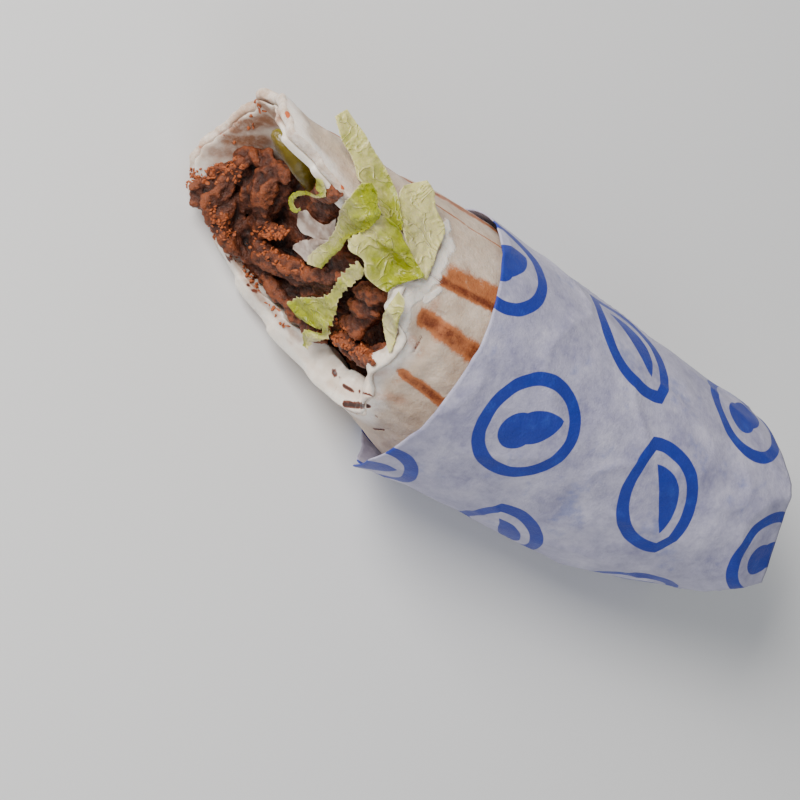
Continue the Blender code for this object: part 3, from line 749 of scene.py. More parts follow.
def build_print():
    group, start, end = new_group("leaf_and_ring_print", {"Edge": 0.12 * MM}, ["Ink", "Inside"])
    split = group.nodes.new("ShaderNodeSeparateXYZ")
    plug(group, start.outputs["Place"], split.inputs[0])
    wide, high = MOTIF_PITCH
    row = calc(group, "FLOOR", calc(group, "DIVIDE", split.outputs[1], high))
    odd_row = calc(group, "FLOORED_MODULO", row, 2.0)
    moved = calc(group, "MULTIPLY_ADD", odd_row, wide / 2, split.outputs[0])
    column = calc(group, "FLOOR", calc(group, "DIVIDE", moved, wide))
    odd_column = calc(group, "FLOORED_MODULO", column, 2.0)
    x = calc(group, "SUBTRACT", calc(group, "FLOORED_MODULO", moved, wide), wide / 2)
    y = calc(group, "SUBTRACT", calc(group, "FLOORED_MODULO", split.outputs[1], high), high / 2)
    other = calc(group, "FLOORED_MODULO", calc(group, "ADD", odd_row, odd_column), 2.0)
    turn = calc(group, "MULTIPLY_ADD", other, 1.5, 0.72)
    cosine, sine = calc(group, "COSINE", turn), calc(group, "SINE", turn)
    across = calc(group, "SUBTRACT", calc(group, "MULTIPLY", x, cosine), calc(group, "MULTIPLY", y, sine))
    upward = calc(group, "ADD", calc(group, "MULTIPLY", x, sine), calc(group, "MULTIPLY", y, cosine))
    leaf = pointed_oval(group, across, upward, *LEAF_HALF)
    core = pointed_oval(group, across, upward, LEAF_HALF[0] - 5.0 * MM, LEAF_HALF[1] - 6.5 * MM)
    half_core = calc(group, "MAXIMUM", core, calc(group, "MULTIPLY", across, -1.0))
    leaf_ink = calc(group, "MINIMUM", outline(group, leaf, LINE), half_core)
    ring = disc(group, across, upward, 0, 0, RING_RADIUS)
    drop = disc(group, across, upward, 0, -2.6 * MM, 4.4 * MM)
    tip = pointed_oval(group, across, calc(group, "SUBTRACT", upward, 0.8 * MM), 3.9 * MM, 7.4 * MM)
    ring_ink = calc(group, "MINIMUM", outline(group, ring, LINE), calc(group, "MINIMUM", drop, tip))
    chosen = calc(group, "MULTIPLY_ADD", other, calc(group, "SUBTRACT", ring_ink, leaf_ink), leaf_ink)
    body = calc(group, "MULTIPLY_ADD", other, calc(group, "SUBTRACT", ring, leaf), leaf)
    edge = start.outputs["Edge"]
    plug(group, ramp(group, chosen, calc(group, "MULTIPLY", edge, -1.0), edge, 1.0, 0.0), end.inputs["Ink"])
    plug(group, ramp(group, body, calc(group, "MULTIPLY", edge, -1.0), edge, 1.0, 0.0), end.inputs["Inside"])
    return group


PRINT = build_print()
print("print group with", len(PRINT.nodes), "nodes")

# %% Paper finish
PAPER_WHITE = srgb(200, 196, 214)
PAPER_OILY = srgb(132, 130, 162)
PAPER_GHOST = srgb(98, 112, 170)
PAPER_SPECK = srgb(150, 84, 40)
INK_BLUE = srgb(10, 42, 146)
INK_WORN = srgb(36, 78, 180)


def paper_finish():
    finish, tree, shader, place = new_finish("printed_greaseproof_paper", 0.5, 0.35)
    unrolled = tree.nodes.new("ShaderNodeUVMap")
    unrolled.uv_map = "unrolled"
    wobble = tree.nodes.new("ShaderNodeVectorMath")
    wobble.operation = "MULTIPLY_ADD"
    drift = tree.nodes.new("ShaderNodeTexNoise")
    drift.inputs["Scale"].default_value = 1 / (6 * MM)
    drift.inputs["Detail"].default_value = 1.0
    plug(tree, unrolled.outputs["UV"], drift.inputs["Vector"])
    plug(tree, drift.outputs["Color"], wobble.inputs[0])
    wobble.inputs[1].default_value = (0.7 * MM, 0.7 * MM, 0)
    plug(tree, unrolled.outputs["UV"], wobble.inputs[2])
    printed = use_group(tree, PRINT, wobble.outputs[0])
    oil = mottled(tree, place, 9 * MM, 2.4)
    ghost = mottled(tree, unrolled.outputs["UV"], 16 * MM, 3.0)
    rub = mottled(tree, unrolled.outputs["UV"], 5 * MM, 2.2)
    speck = speckled(tree, place, 14 * MM, 0.06, 0.4)
    white = tint(tree, oil, PAPER_WHITE, PAPER_OILY)
    white = tint(tree, ramp(tree, ghost, 0.62, 1.0, 0.0, 0.5), white, PAPER_GHOST)
    ink = tint(tree, ramp(tree, rub, 0.45, 1.0, 0.0, 0.55), INK_BLUE, INK_WORN)
    worn_ink = calc(tree, "MULTIPLY", printed.outputs["Ink"], ramp(tree, rub, 0.93, 1.0, 0.97, 0.6))
    colour = tint(tree, worn_ink, white, ink)
    colour = tint(tree, speck, colour, PAPER_SPECK)
    plug(tree, colour, shader.inputs["Base Color"])
    plug(tree, ramp(tree, oil, 0.0, 1.0, 0.56, 0.4), shader.inputs["Roughness"])
    fibre = cloud(tree, place, 0.5 * MM, 3.0)
    height = calc(tree, "MULTIPLY_ADD", fibre, 0.35, cloud(tree, place, 5 * MM, 3.0))
    relief(tree, shader, height, 0.5 * MM, 0.6)
    soft_light(shader, 0.12, (1.0, 0.9, 0.9), 1.0 * MM)
    return finish


paper_sleeve.data.materials.append(paper_finish())
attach(paper_sleeve, "root")
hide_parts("paper_sleeve")
print("paper finished")

# %% [markdown]
# ## Flatbread
# A soft bread rolled twice round the filling, browned by a ridged grill. Its outer layer ends in a torn edge
# that runs along the roll, and its cut rim is ragged and floury. The form comes from the roll's rules, with
# blisters. The grill's stripes lie at their angles round the roll, and the slits and smears that show are
# strokes on the surface.

# %% Bread shape
BREAD_COLUMNS = 400
BREAD_ROWS = 120
LIP_ROWS = 18
BREAD_LIP = 0.8 * MM
LUMP_RADIUS = 25 * MM  # where the bread's noise is read round the roll
END_LEVELS = (0.3, 0.6, 0.85)  # rings of a cup's closed end, as shares of its radius


def lap_relief(reach, angle):
    """The outer layer ends in a torn edge along the near side, and the bread is thinner past it."""
    degrees = math.degrees(angle) % 360
    torn = 1.6 * wave((reach, 0, 0), 3.4 * MM, 11) + 0.8 * wave((reach, 0, 0), 1.2 * MM, 12)
    edge = 99 + 3 * math.sin(reach / (4 * MM)) + torn
    step = LAP_STEP * blend(edge - 0.9, edge + 0.9, degrees) * blend(200, 150, degrees)
    return step * blend(6 * MM, 10 * MM, reach)


def bread_outer(reach, angle):
    ring = Vector((reach, LUMP_RADIUS * math.cos(angle), LUMP_RADIUS * math.sin(angle)))
    blister = max(wave(ring, 5 * MM, 14) - 0.15, 0) * 0.7 * MM + 0.12 * MM * wave(ring, 2.2 * MM, 15)
    dimple = 0.35 * MM * wave(ring, 11 * MM, 16)
    return lap_relief(reach, angle) + (0.12 * MM - blister + dimple) * blend(-12 * MM, 2 * MM, reach)


def bread_inner(_reach, _angle):
    return BREAD_THICKNESS


def along(first, last, steps, crowd):
    """Values from first to last, crowded towards last where crowd is over 1."""
    return [mix(first, last, 1 - (1 - k / steps) ** crowd) for k in range(steps + 1)]


def cup(name, columns, steps, back, outer, inner, front, lip):
    """A cup along the roll between two depths, closed at the back and round at its open rim."""
    angles = [BOTTOM + math.tau * k / columns for k in range(columns)]
    fronts = [front(angle) for angle in angles]

    def ends(depth, reach):
        centre, _, _ = bread_section(reach)
        middle = Vector((PAPER_EDGE_X - reach, *centre))
        rim = [roll_point(reach, angle, depth(reach, angle)) for angle in angles]
        rows = [[middle.lerp(point, share) for point in rim] for share in END_LEVELS]
        return middle, rows

    def wall(depth, reach_back, count):
        rows = []
        for share in along(0, 1, count, 1.7):
            row = []
            for front_reach, angle in zip(fronts, angles):
                reach = mix(reach_back, front_reach, share)
                row.append(roll_point(reach, angle, depth(reach, angle)))
            rows.append(row)
        return rows

    rounded = []
    for r in range(1, LIP_ROWS):
        turn = math.pi * r / LIP_ROWS
        row = []
        for reach, angle in zip(fronts, angles):
            depth = mix(outer(reach, angle), inner(reach, angle), (1 - math.cos(turn)) / 2)
            swell = 1 + 0.5 * wave((reach, angle * LUMP_RADIUS, depth), 1.5 * MM, 18)
            row.append(roll_point(reach + lip * math.sin(turn) * swell, angle, depth))
        rounded.append(row)
    thickness = inner(back, 0) - outer(back, 0)
    pole_out, end_out = ends(outer, back)
    pole_in, end_in = ends(inner, back + thickness)
    outside = end_out + wall(outer, back, steps)
    inside = (end_in + wall(inner, back + thickness, steps // 2))[::-1]
    obj = ring_surface(name, outside + rounded + inside, pole_out, pole_in)
    first_lip = 1 + (len(outside) - 1) * columns
    last_lip = 1 + (len(outside) + len(rounded) + 1) * columns
    return obj, first_lip, last_lip


flatbread, lip_start, lip_end = cup(
    "flatbread_skin", BREAD_COLUMNS, BREAD_ROWS, BREAD_BACK, bread_outer, bread_inner, rim_reach, BREAD_LIP
)
print("flatbread:", triangle_count(flatbread), "triangles")

# %% Bread marks
# Grill stripes along the roll: angle at the rim's end, angle at the paper, half width in degrees, strength
# and the reach of the stripe's end in millimetres
STRIPES = [
    (85.5, 81.5, 6.5, 0.62, 13.0), (88.5, 86.0, 2.6, 1.0, 14.5), (106.0, 108.5, 4.6, 0.9, 14.0),
    (134.0, 136.0, 2.9, 0.85, 9.5), (33.0, 31.0, 4.2, 0.8, 47.0), (-4.0, -6.0, 4.4, 0.75, 60.0),
    (-38.0, -40.0, 4.0, 0.85, 43.0), (-72.0, -75.0, 4.4, 0.7, 60.0), (-106.0, -108.0, 4.0, 0.75, 24.0),
    (49.4, 50.6, 0.5, 0.75, 17.0),
]
# Dark marks where they show, painted shade inside slits and real burnt spots: two pixels, half width in
# pixels, strength
SLITS = [
    ((343, 386), (352, 390), 1.6, 1.0), ((352, 390), (374, 396), 1.1, 0.8),
    ((345, 404), (368, 406), 3.6, 1.0), ((374, 429), (384, 430), 1.4, 0.9),
    ((334, 371), (335, 374), 2.8, 1.0), ((339, 378), (340, 379), 1.6, 0.5),
    ((376, 416), (377, 417), 1.5, 0.6), ((255, 286), (256, 287), 1.5, 0.5),
    ((227, 258), (229, 260), 2.2, 0.9), ((248, 285), (259, 273), 1.6, 1.0),
    ((253, 291), (257, 291), 2.2, 0.7), ((414, 352), (421, 338), 2.0, 0.55),
    ((246, 277), (252, 271), 1.4, 0.8), ((227, 257), (231, 259), 2.0, 1.0),
    ((256, 286), (262, 282), 1.3, 0.7),
]
# Smears of sauce and of tan toast on the bread, given the same way
CREAM_SMEARS = [
    ((396, 312), (420, 292), 8.0, 0.9), ((420, 292), (436, 272), 7.5, 0.95),
    ((436, 272), (450, 244), 8.0, 0.85), ((444, 240), (448, 222), 6.0, 0.8),
    ((426, 300), (440, 290), 4.0, 0.8), ((392, 356), (400, 344), 3.0, 0.8),
    ((404, 330), (408, 312), 5.0, 0.7),
]
TAN_SMEARS = [
    ((352, 392), (400, 400), 8.0, 0.4), ((412, 340), (420, 352), 5.0, 0.55),
    ((432, 312), (436, 300), 5.0, 0.35), ((404, 372), (396, 382), 4.0, 0.4),
    ((290, 330), (293, 340), 2.0, 0.4), ((289, 341), (290, 343), 2.0, 0.6),
    ((246, 262), (244, 272), 3.0, 0.7), ((270, 302), (276, 310), 2.6, 0.5),
    ((240, 262), (262, 300), 6.0, 0.3), ((360, 378), (384, 372), 6.0, 0.3),
    ((330, 384), (344, 392), 4.0, 0.4), ((296, 348), (312, 366), 4.0, 0.22),
]
FLOURY_RIM = 5.5 * MM  # how far the pale flour reaches behind the rim


def stripe_values(points):
    """How brown each point of the bread is from the grill."""
    x = points[:, 0]
    reach = (PAPER_EDGE_X - x) / MM
    angle = np.degrees(np.arctan2(points[:, 2] - BREAD_CENTRE[1], points[:, 1] - BREAD_CENTRE[0]))
    brown = np.zeros(len(points))
    for at_rim, at_paper, half_width, strength, end in STRIPES:
        centre = at_paper + (at_rim - at_paper) * np.clip(reach / 15, -0.3, 1.5)
        away = np.abs((angle - centre + 180) % 360 - 180) / half_width
        fade = np.clip((end - reach) / 2.2 + 0.5, 0, 1)
        brown = np.maximum(brown, strength * fade * np.clip(1.45 - away, 0, 1) ** 1.2)
    return brown


bread_points = point_array(flatbread)
bread_tree = surface_tree(flatbread)
torn_rim = np.zeros(len(bread_points))
torn_rim[lip_start:lip_end] = 1.0
bread_angles = [math.atan2(p[2] - BREAD_CENTRE[1], p[1] - BREAD_CENTRE[0]) for p in bread_points]
behind_rim = np.array([rim_reach(angle) for angle in bread_angles]) - (PAPER_EDGE_X - bread_points[:, 0])
add_values(flatbread, "brown", stripe_values(bread_points))
add_values(flatbread, "torn", torn_rim)
add_values(flatbread, "pale", 1 - np.clip(behind_rim / FLOURY_RIM, 0, 1))
print("bread marks kept as point values")

# %% Bread finish
BREAD_PALE = srgb(220, 202, 184)
BREAD_CREAM = srgb(182, 156, 132)
BREAD_WHITE = srgb(238, 228, 218)
BREAD_TOAST = srgb(176, 106, 62)
BREAD_DARK = srgb(104, 44, 20)
# The char colour also paints the shade inside the slits.
BREAD_CHAR = srgb(52, 22, 12)
STAIN_TAN = srgb(176, 132, 98)
STAIN_ORANGE = srgb(178, 84, 36)
SAUCE_WHITE = srgb(240, 230, 218)


def bread_finish():
    finish, tree, shader, place = new_finish("flatbread", 0.62, 0.35)
    patches = mottled(tree, place, 8 * MM, 2.2)
    fine = mottled(tree, place, 2.2 * MM, 2.6)
    speck = speckled(tree, place, 5 * MM, 0.09, 0.42)
    ground = tint(tree, patches, BREAD_PALE, BREAD_CREAM)
    ground = tint(tree, ramp(tree, point_value(tree, "pale"), 0.1, 0.9), ground, BREAD_WHITE)
    toasted = uneven(tree, point_value(tree, "brown"), fine, 0.5)
    ground = tint(tree, ramp(tree, toasted, 0.12, 0.55), ground, BREAD_TOAST)
    ground = tint(tree, ramp(tree, toasted, 0.55, 1.15), ground, BREAD_DARK)
    smear = calc(tree, "MULTIPLY", point_value(tree, "smear"), ramp(tree, fine, 0.2, 0.6))
    ground = tint(tree, smear, ground, BREAD_TOAST)
    # Slits are painted dark as the shade inside them; burnt spots keep their own charred colour.
    slit = uneven(tree, point_value(tree, "slit"), fine, 0.4)
    ground = tint(tree, ramp(tree, slit, 0.25, 0.6), ground, BREAD_DARK)
    ground = tint(tree, ramp(tree, slit, 0.6, 0.95), ground, BREAD_CHAR)
    ground = tint(tree, calc(tree, "MULTIPLY", speck, 0.6), ground, BREAD_TOAST)
    crumb = ramp(tree, point_value(tree, "torn"), 0.3, 0.9)
    ground = tint(tree, crumb, ground, tint(tree, fine, BREAD_WHITE, BREAD_CREAM))
    stain = calc(tree, "MULTIPLY", point_value(tree, "stain"), ramp(tree, fine, 0.0, 0.8, 0.4, 0.9))
    ground = tint(tree, stain, ground, STAIN_TAN)
    cream = uneven(tree, point_value(tree, "cream"), fine, 0.7)
    ground = tint(tree, ramp(tree, cream, 0.3, 0.6), ground, SAUCE_WHITE)
    spot = uneven(tree, point_value(tree, "spot"), fine, 0.5)
    colour = tint(tree, ramp(tree, spot, 0.3, 0.75), ground, STAIN_ORANGE)
    plug(tree, colour, shader.inputs["Base Color"])
    plug(tree, ramp(tree, patches, 0.2, 0.9, 0.7, 0.42), shader.inputs["Roughness"])
    pores = cloud(tree, place, 0.7 * MM, 4.0)
    height = calc(tree, "MULTIPLY_ADD", pores, 0.5, cloud(tree, place, 3 * MM, 3.0))
    height = calc(tree, "MULTIPLY_ADD", slit, -1.4, height)
    height = calc(tree, "MULTIPLY_ADD", ramp(tree, cream, 0.3, 0.7), 0.8, height)
    relief(tree, shader, height, 0.4 * MM, 0.6)
    soft_light(shader, 0.35, (1.0, 0.75, 0.55), 1.6 * MM)
    return finish


flatbread.data.materials.append(bread_finish())
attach(flatbread, "root")
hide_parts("flatbread")
print("bread finished")

# %% [markdown]
# ## Garlic sauce
# A thick white sauce lines the bread. It is thin and stained on the far wall, and thick and smooth on the
# near side, where it rolls over the bread's rim. It is a second cup inside the first, with its own lumps.

# %% Sauce shape
SAUCE_COLUMNS = 380
SAUCE_ROWS = 100
SAUCE_LIP = 0.9 * MM
COAT_DEPTH = 0.15 * MM  # depth of the sauce under the bread's face where it coats the rim


def coated(angle):
    """How far the sauce covers the bread's torn rim: most along the near side."""
    degrees = math.degrees(angle) % 360
    return blend(60, 92, degrees) * blend(285, 255, degrees)


def sauce_outer(reach, angle):
    beyond = blend(-0.2 * MM, 0.6 * MM, reach - rim_reach(angle)) * coated(angle)
    return mix(BREAD_THICKNESS + 1.3 * GAP, COAT_DEPTH, beyond)


def sauce_inner(reach, angle):
    ring = Vector((reach, 22 * MM * math.cos(angle), 22 * MM * math.sin(angle)))
    front = sauce_table(math.degrees(angle)) * MM
    dollops = 0.16 * front * wave(ring, 4.5 * MM, 42) + 0.1 * MM * wave(ring, 1.8 * MM, 43)
    return sauce_depth(reach, angle) + dollops * blend(-6 * MM, 6 * MM, reach)


def sauce_front(angle):
    return rim_reach(angle) + mix(-0.7 * MM, 1.0 * MM, coated(angle))


garlic_sauce, _, _ = cup(
    "garlic_sauce_skin", SAUCE_COLUMNS, SAUCE_ROWS, BREAD_BACK + BREAD_THICKNESS + GAP,
    sauce_outer, sauce_inner, sauce_front, SAUCE_LIP,
)
print("sauce:", triangle_count(garlic_sauce), "triangles")

# %% Sauce finish
# Stains and spots where they show: two pixels, half width in pixels, strength
SAUCE_STAINS = [
    ((236, 128), (270, 120), 13.0, 0.95), ((228, 140), (262, 140), 12.0, 0.9),
    ((214, 152), (246, 150), 10.0, 0.7), ((262, 104), (276, 118), 9.0, 0.8),
    ((203, 152), (230, 138), 9.0, 0.45), ((340, 180), (350, 190), 7.0, 0.45),
    ((240, 112), (262, 98), 7.0, 0.7), ((262, 150), (280, 165), 9.0, 0.9),
    ((225, 246), (262, 300), 5.0, 0.6), ((262, 300), (300, 340), 4.0, 0.5),
    ((385, 330), (384, 350), 5.0, 0.35), ((344, 168), (352, 176), 6.0, 0.35),
]
SAUCE_SPOTS = [
    ((254, 99), (258, 101), 2.6, 1.0), ((259, 108), (260, 113), 2.0, 0.8),
    ((287, 113), (288, 116), 2.4, 1.0), ((200, 147), (201, 148), 2.0, 0.5),
    ((342, 187), (343, 188), 1.8, 0.9), ((276, 308), (280, 311), 1.8, 0.7),
    ((338, 173), (339, 174), 1.2, 0.5), ((302, 333), (304, 334), 1.6, 0.7),
    ((233, 115), (234, 116), 2.0, 0.4),
]
SAUCE_CREAM = srgb(224, 208, 190)
SAUCE_MAUVE = srgb(146, 104, 78)
SAUCE_ORANGE = srgb(186, 92, 42)

rim_trees = [surface_tree(garlic_sauce), bread_tree]
for carrier in (garlic_sauce, flatbread):
    add_values(carrier, "stain", strokes(carrier, rim_trees, SAUCE_STAINS))
    add_values(carrier, "spot", strokes(carrier, rim_trees, SAUCE_SPOTS))
    add_values(carrier, "slit", strokes(carrier, rim_trees, SLITS))
    add_values(carrier, "smear", strokes(carrier, rim_trees, TAN_SMEARS))
    add_values(carrier, "cream", strokes(carrier, rim_trees, CREAM_SMEARS))


def sauce_finish():
    finish, tree, shader, place = new_finish("garlic_sauce", 0.3, 0.5)
    patches = mottled(tree, place, 7 * MM, 2.0)
    fine = mottled(tree, place, 1.6 * MM, 2.2)
    speck = speckled(tree, place, 6 * MM, 0.1, 0.36)
    colour = tint(tree, ramp(tree, patches, 0.3, 1.0), SAUCE_WHITE, SAUCE_CREAM)
    stain = calc(tree, "MULTIPLY", point_value(tree, "stain"), ramp(tree, fine, 0.0, 0.7, 0.6, 1.1))
    colour = tint(tree, calc(tree, "MINIMUM", stain, 1.0), colour, SAUCE_MAUVE)
    spot = uneven(tree, point_value(tree, "spot"), fine, 0.5)
    colour = tint(tree, ramp(tree, spot, 0.3, 0.75), colour, SAUCE_ORANGE)
    colour = tint(tree, calc(tree, "MULTIPLY", speck, 0.55), colour, SAUCE_ORANGE)
    colour = tint(tree, calc(tree, "MULTIPLY", point_value(tree, "smear"), 0.8), colour, STAIN_TAN)
    # Slits are painted dark over the sauce as the shade inside them; burnt spots keep their own charred
    # colour.
    slit = uneven(tree, point_value(tree, "slit"), fine, 0.4)
    colour = tint(tree, ramp(tree, slit, 0.2, 0.55), colour, BREAD_DARK)
    colour = tint(tree, ramp(tree, slit, 0.6, 0.95), colour, BREAD_CHAR)
    plug(tree, colour, shader.inputs["Base Color"])
    plug(tree, ramp(tree, patches, 0.2, 0.9, 0.22, 0.42), shader.inputs["Roughness"])
    relief(tree, shader, cloud(tree, place, 2.4 * MM, 3.0), 0.5 * MM, 0.45)
    soft_light(shader, 0.45, (1.0, 0.85, 0.7), 1.8 * MM)
    return finish


garlic_sauce.data.materials.append(sauce_finish())
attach(garlic_sauce, "root")
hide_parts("garlic_sauce")
print("sauce finished")

# %% [markdown]
# ## Beef
# Shredded, well browned beef: strips and crumbs that crowd the hollow. Each strip is a ball stretched between
# two ends and roughened along its fibres. A voxel remesh fuses the strips with the heap behind them, what the
# roll hides is thinned out, and the rest is broken up into grains. How far each point stands out is kept: the
# crevices are painted nearly black as shade, and the crests orange brown, partly the crust's own colour and
# partly painted light.

# %% Beef strips
BEEF_BACK = -80 * MM
BEEF_SETBACK = 9.5 * MM  # how far behind the cut the heap stands
BEEF_SETBACK_LOW = 6.5 * MM
BEEF_ROOM = 0.5 * MM  # between the heap and what lies round it
PICKLE_ROOM = 5 * MM
BEEF_LOWEST = 5 * MM
BEHIND_RIM = 4 * MM  # how far behind the rim the heap may end at most
CORE_COLUMNS = 60
CORE_ROWS = 12
CORE_FRONT = 12 * MM
CORE_LEVELS = (1.0, 0.93, 0.86, 0.77, 0.68, 0.58, 0.48, 0.38, 0.28, 0.15)
THINNED_SHARE = 0.93
BEEF_VOXEL = 0.4 * MM
BEEF_SHOWN = -16 * MM  # what lies behind this x is hidden in the roll
# Strips: two ends as (y, z, height over the cut) and the radius, in millimetres
BEEF_STRIPS = [
    ((15.6, 20.4, -8.6), (12.0, 13.6, -6.6), 2.6), ((12.3, 14.2, -7.0), (6.4, 7.8, -4.4), 2.9),
    ((4.4, 7.6, -2.4), (2.8, 12.6, -4.6), 2.5), ((3.0, 11.2, -4.6), (-0.6, 18.6, -5.6), 2.4),
    ((-1.8, 10.6, -8.4), (0.2, 24.0, -7.2), 2.2), ((0.0, 23.0, -7.4), (1.2, 32.6, -7.2), 2.4),
    ((11.0, 30.2, -7.6), (12.4, 38.2, -7.8), 3.0), ((-2.8, 33.4, -7.6), (-1.8, 41.6, -7.8), 2.8),
    ((-5.9, 30.8, -6.4), (-3.4, 38.6, -7.2), 2.6), ((7.6, 7.6, 7.6), (12.4, 10.0, 1.6), 2.5),
    ((4.6, 7.0, 6.6), (9.4, 8.6, 1.6), 2.5), ((13.6, 11.2, 0.4), (16.4, 14.0, -2.6), 2.2),
    ((15.4, 12.6, -3.6), (10.2, 9.0, -2.2), 2.1), ((19.0, 18.0, -7.0), (15.0, 13.8, -7.4), 2.0),
    ((4.6, 7.0, 7.2), (1.6, 7.2, 1.2), 2.0), ((7.6, 7.2, 8.0), (3.0, 6.8, 5.0), 1.9),
    ((-7.0, 22.4, -6.8), (-11.2, 28.6, -5.8), 2.3), ((-12.4, 30.0, -5.0), (-10.2, 37.6, -5.8), 2.2),
    ((3.4, 27.8, -9.4), (4.4, 34.6, -9.4), 2.4), ((-9.6, 27.2, -5.0), (-11.8, 31.0, -5.2), 2.0),
    ((8.0, 18.4, -11.0), (6.8, 24.6, -11.0), 2.2),
]
# More of them by where they show: two pixels, height over the cut and radius in millimetres
BEEF_BITS = [
    ((214, 170), (232, 168), -3.0, 1.6), ((241, 152), (258, 158), -7.0, 1.5),
    ((196, 186), (212, 182), 0.6, 1.3), ((200, 198), (214, 200), -0.5, 1.3),
    ((214, 214), (226, 222), -1.8, 1.5), ((220, 230), (232, 236), -1.6, 1.2),
    ((236, 244), (246, 252), -1.8, 1.0), ((244, 218), (250, 234), -4.0, 1.4),
    ((262, 230), (280, 232), -3.0, 1.5), ((252, 238), (262, 230), -3.2, 1.4),
    ((272, 166), (288, 176), -6.6, 1.8), ((258, 208), (268, 222), -4.0, 1.8),
    ((320, 200), (338, 196), -5.4, 2.2), ((328, 256), (350, 258), -6.4, 1.9),
    ((364, 292), (380, 296), -4.6, 2.2), ((356, 306), (372, 312), -4.4, 2.0),
    ((334, 332), (350, 342), -3.6, 1.7), ((346, 322), (358, 332), -4.2, 1.6),
    ((354, 348), (366, 356), -5.2, 1.6), ((362, 358), (372, 360), -6.0, 1.3),
    ((286, 284), (300, 290), -6.0, 1.5), ((224, 196), (236, 204), -3.6, 1.6),
    ((243, 172), (247, 196), -2.8, 1.8), ((233, 214), (244, 240), -4.6, 2.6),
    ((250, 252), (284, 262), -3.6, 2.5), ((284, 262), (304, 272), -4.2, 2.3),
    ((230, 238), (246, 256), -0.8, 1.6), ((250, 258), (268, 280), -1.2, 1.8),
    ((270, 284), (284, 300), -1.6, 1.8), ((286, 302), (300, 318), -2.0, 1.8),
    ((304, 322), (322, 338), -2.6, 1.8), ((234, 216), (243, 236), -1.6, 2.2),
    ((296, 282), (330, 274), -4.2, 2.1), ((330, 276), (344, 272), -4.6, 1.9),
    ((306, 300), (330, 318), -6.0, 2.2), ((348, 344), (364, 360), -6.4, 1.9),
    ((262, 176), (258, 200), -3.6, 2.2), ((270, 186), (262, 212), -3.4, 2.4),
    ((195, 188), (207, 183), 2.6, 1.2), ((194, 195), (204, 195), 2.8, 1.1),
    ((196, 202), (208, 206), 1.6, 1.4), ((244, 150), (256, 160), -4.4, 1.3),
]


def strip_points(first, last, radius, seed):
    """A lump of beef between two ends, grooved along its fibres."""
    work = bmesh.new()
    bmesh.ops.create_icosphere(work, subdivisions=4, radius=1.0)
    axis = last - first
    length = axis.length
    axis.normalize()
    side = axis.cross(Vector((0.1, 0.2, 1))).normalized()
    up = side.cross(axis)
    shift = Vector((seed * 7.1, seed * 3.3, seed * 1.7))
    for vert in work.verts:
        at = vert.co.copy()
        lumps = noise.noise(at * 1.35 + shift)
        fibre = noise.noise(Vector((at.x * 3.2, at.y * 3.2, at.z * 0.9)) + shift)
        spot = at * radius * (1 + 0.34 * lumps + 0.2 * fibre)
        bend = 0.14 * length * math.sin(at.z * 1.6 + seed)
        bulk = first.lerp(last, 0.5) + axis * (spot.z + at.z * 0.5 * length)
        vert.co = bulk + side * (spot.x + bend * 0.6) + up * spot.y
    points = [vert.co.copy() for vert in work.verts]
    faces = [tuple(vert.index for vert in face.verts) for face in work.faces]
    work.free()
    return points, faces


def beef_core():
    """The heap behind the strips, as in the solid: rings along the roll and in over its front."""
    angles = [math.tau * k / CORE_COLUMNS for k in range(CORE_COLUMNS)]

    def depth(reach, angle):
        degrees = (math.degrees(angle) + 90) % 360 - 90
        over = blend(30, 60, degrees) * blend(140, 110, degrees)
        return sauce_depth(reach, angle) + GAP + BED_ROOM * over + BEEF_ROOM

    rows = []
    for reach in along(BEEF_BACK, 0, CORE_ROWS, 1):
        rows.append([roll_point(reach, angle, depth(reach, angle)) for angle in angles])
    centre = Vector((0, *BREAD_CENTRE))
    for share in CORE_LEVELS:
        row = []
        for angle in angles:
            foot = centre.lerp(roll_point(CORE_FRONT, angle, depth(CORE_FRONT, angle)), share)
            hollow = mix(BEEF_SETBACK_LOW, BEEF_SETBACK, blend(10 * MM, 24 * MM, foot.z))
            hollow += 1.5 * MM * wave((foot.y, foot.z, 0), 7 * MM, 9)
            hollow += PICKLE_ROOM * blend(13 * MM, 20 * MM, foot.y)
            within_rim = rim_table(math.degrees(angle)) * MM - BEHIND_RIM
            reach = max(min(cut_reach(foot.y, foot.z) - hollow, within_rim), 1.5 * MM)
            foot = centre.lerp(roll_point(reach, angle, depth(reach, angle)), share)
            foot.x = PAPER_EDGE_X - reach
            row.append(foot)
        rows.append(row)
    back = Vector((PAPER_EDGE_X - BEEF_BACK, *bread_section(BEEF_BACK)[0]))
    front = Vector((PAPER_EDGE_X - CUT_REACH + BEEF_SETBACK, *BREAD_CENTRE))
    return ring_surface("beef_heap", rows, back, front)


def baked_mesh(obj):
    """The object's mesh with its modifiers applied, in place of its own."""
    graph = bpy.context.evaluated_depsgraph_get()
    whole = bpy.data.meshes.new_from_object(obj.evaluated_get(graph))
    obj.modifiers.clear()
    old, obj.data = obj.data, whole
    bpy.data.meshes.remove(old)
    return obj


def thinned_back(obj):
    """The same surface with far fewer faces where the roll hides it."""
    hidden = np.flatnonzero(point_array(obj)[:, 0] > BEEF_SHOWN)
    obj.vertex_groups.new(name="hidden").add([int(i) for i in hidden], 1.0, "REPLACE")
    thin = obj.modifiers.new("thin", "DECIMATE")
    thin.vertex_group = "hidden"
    thin.ratio = 1 - THINNED_SHARE * len(hidden) / len(obj.data.vertices)
    baked_mesh(obj)
    obj.vertex_groups.clear()
    return obj


def bit_place(px, py, high, radius):
    """Where a bit of beef lies: at its height over the cut, or nearer, on the sauce or off the floor."""
    ray = picture_ray(px, py)
    distances = [(over_cut(px, py, high) - EYE).length, (BEEF_LOWEST - EYE.z) / ray.z]
    hit = first_hit(rim_trees, px, py)
    if hit is not None:
        distances.append((hit - EYE).length - 0.3 * radius * MM)
    return EYE + ray * min(distances)


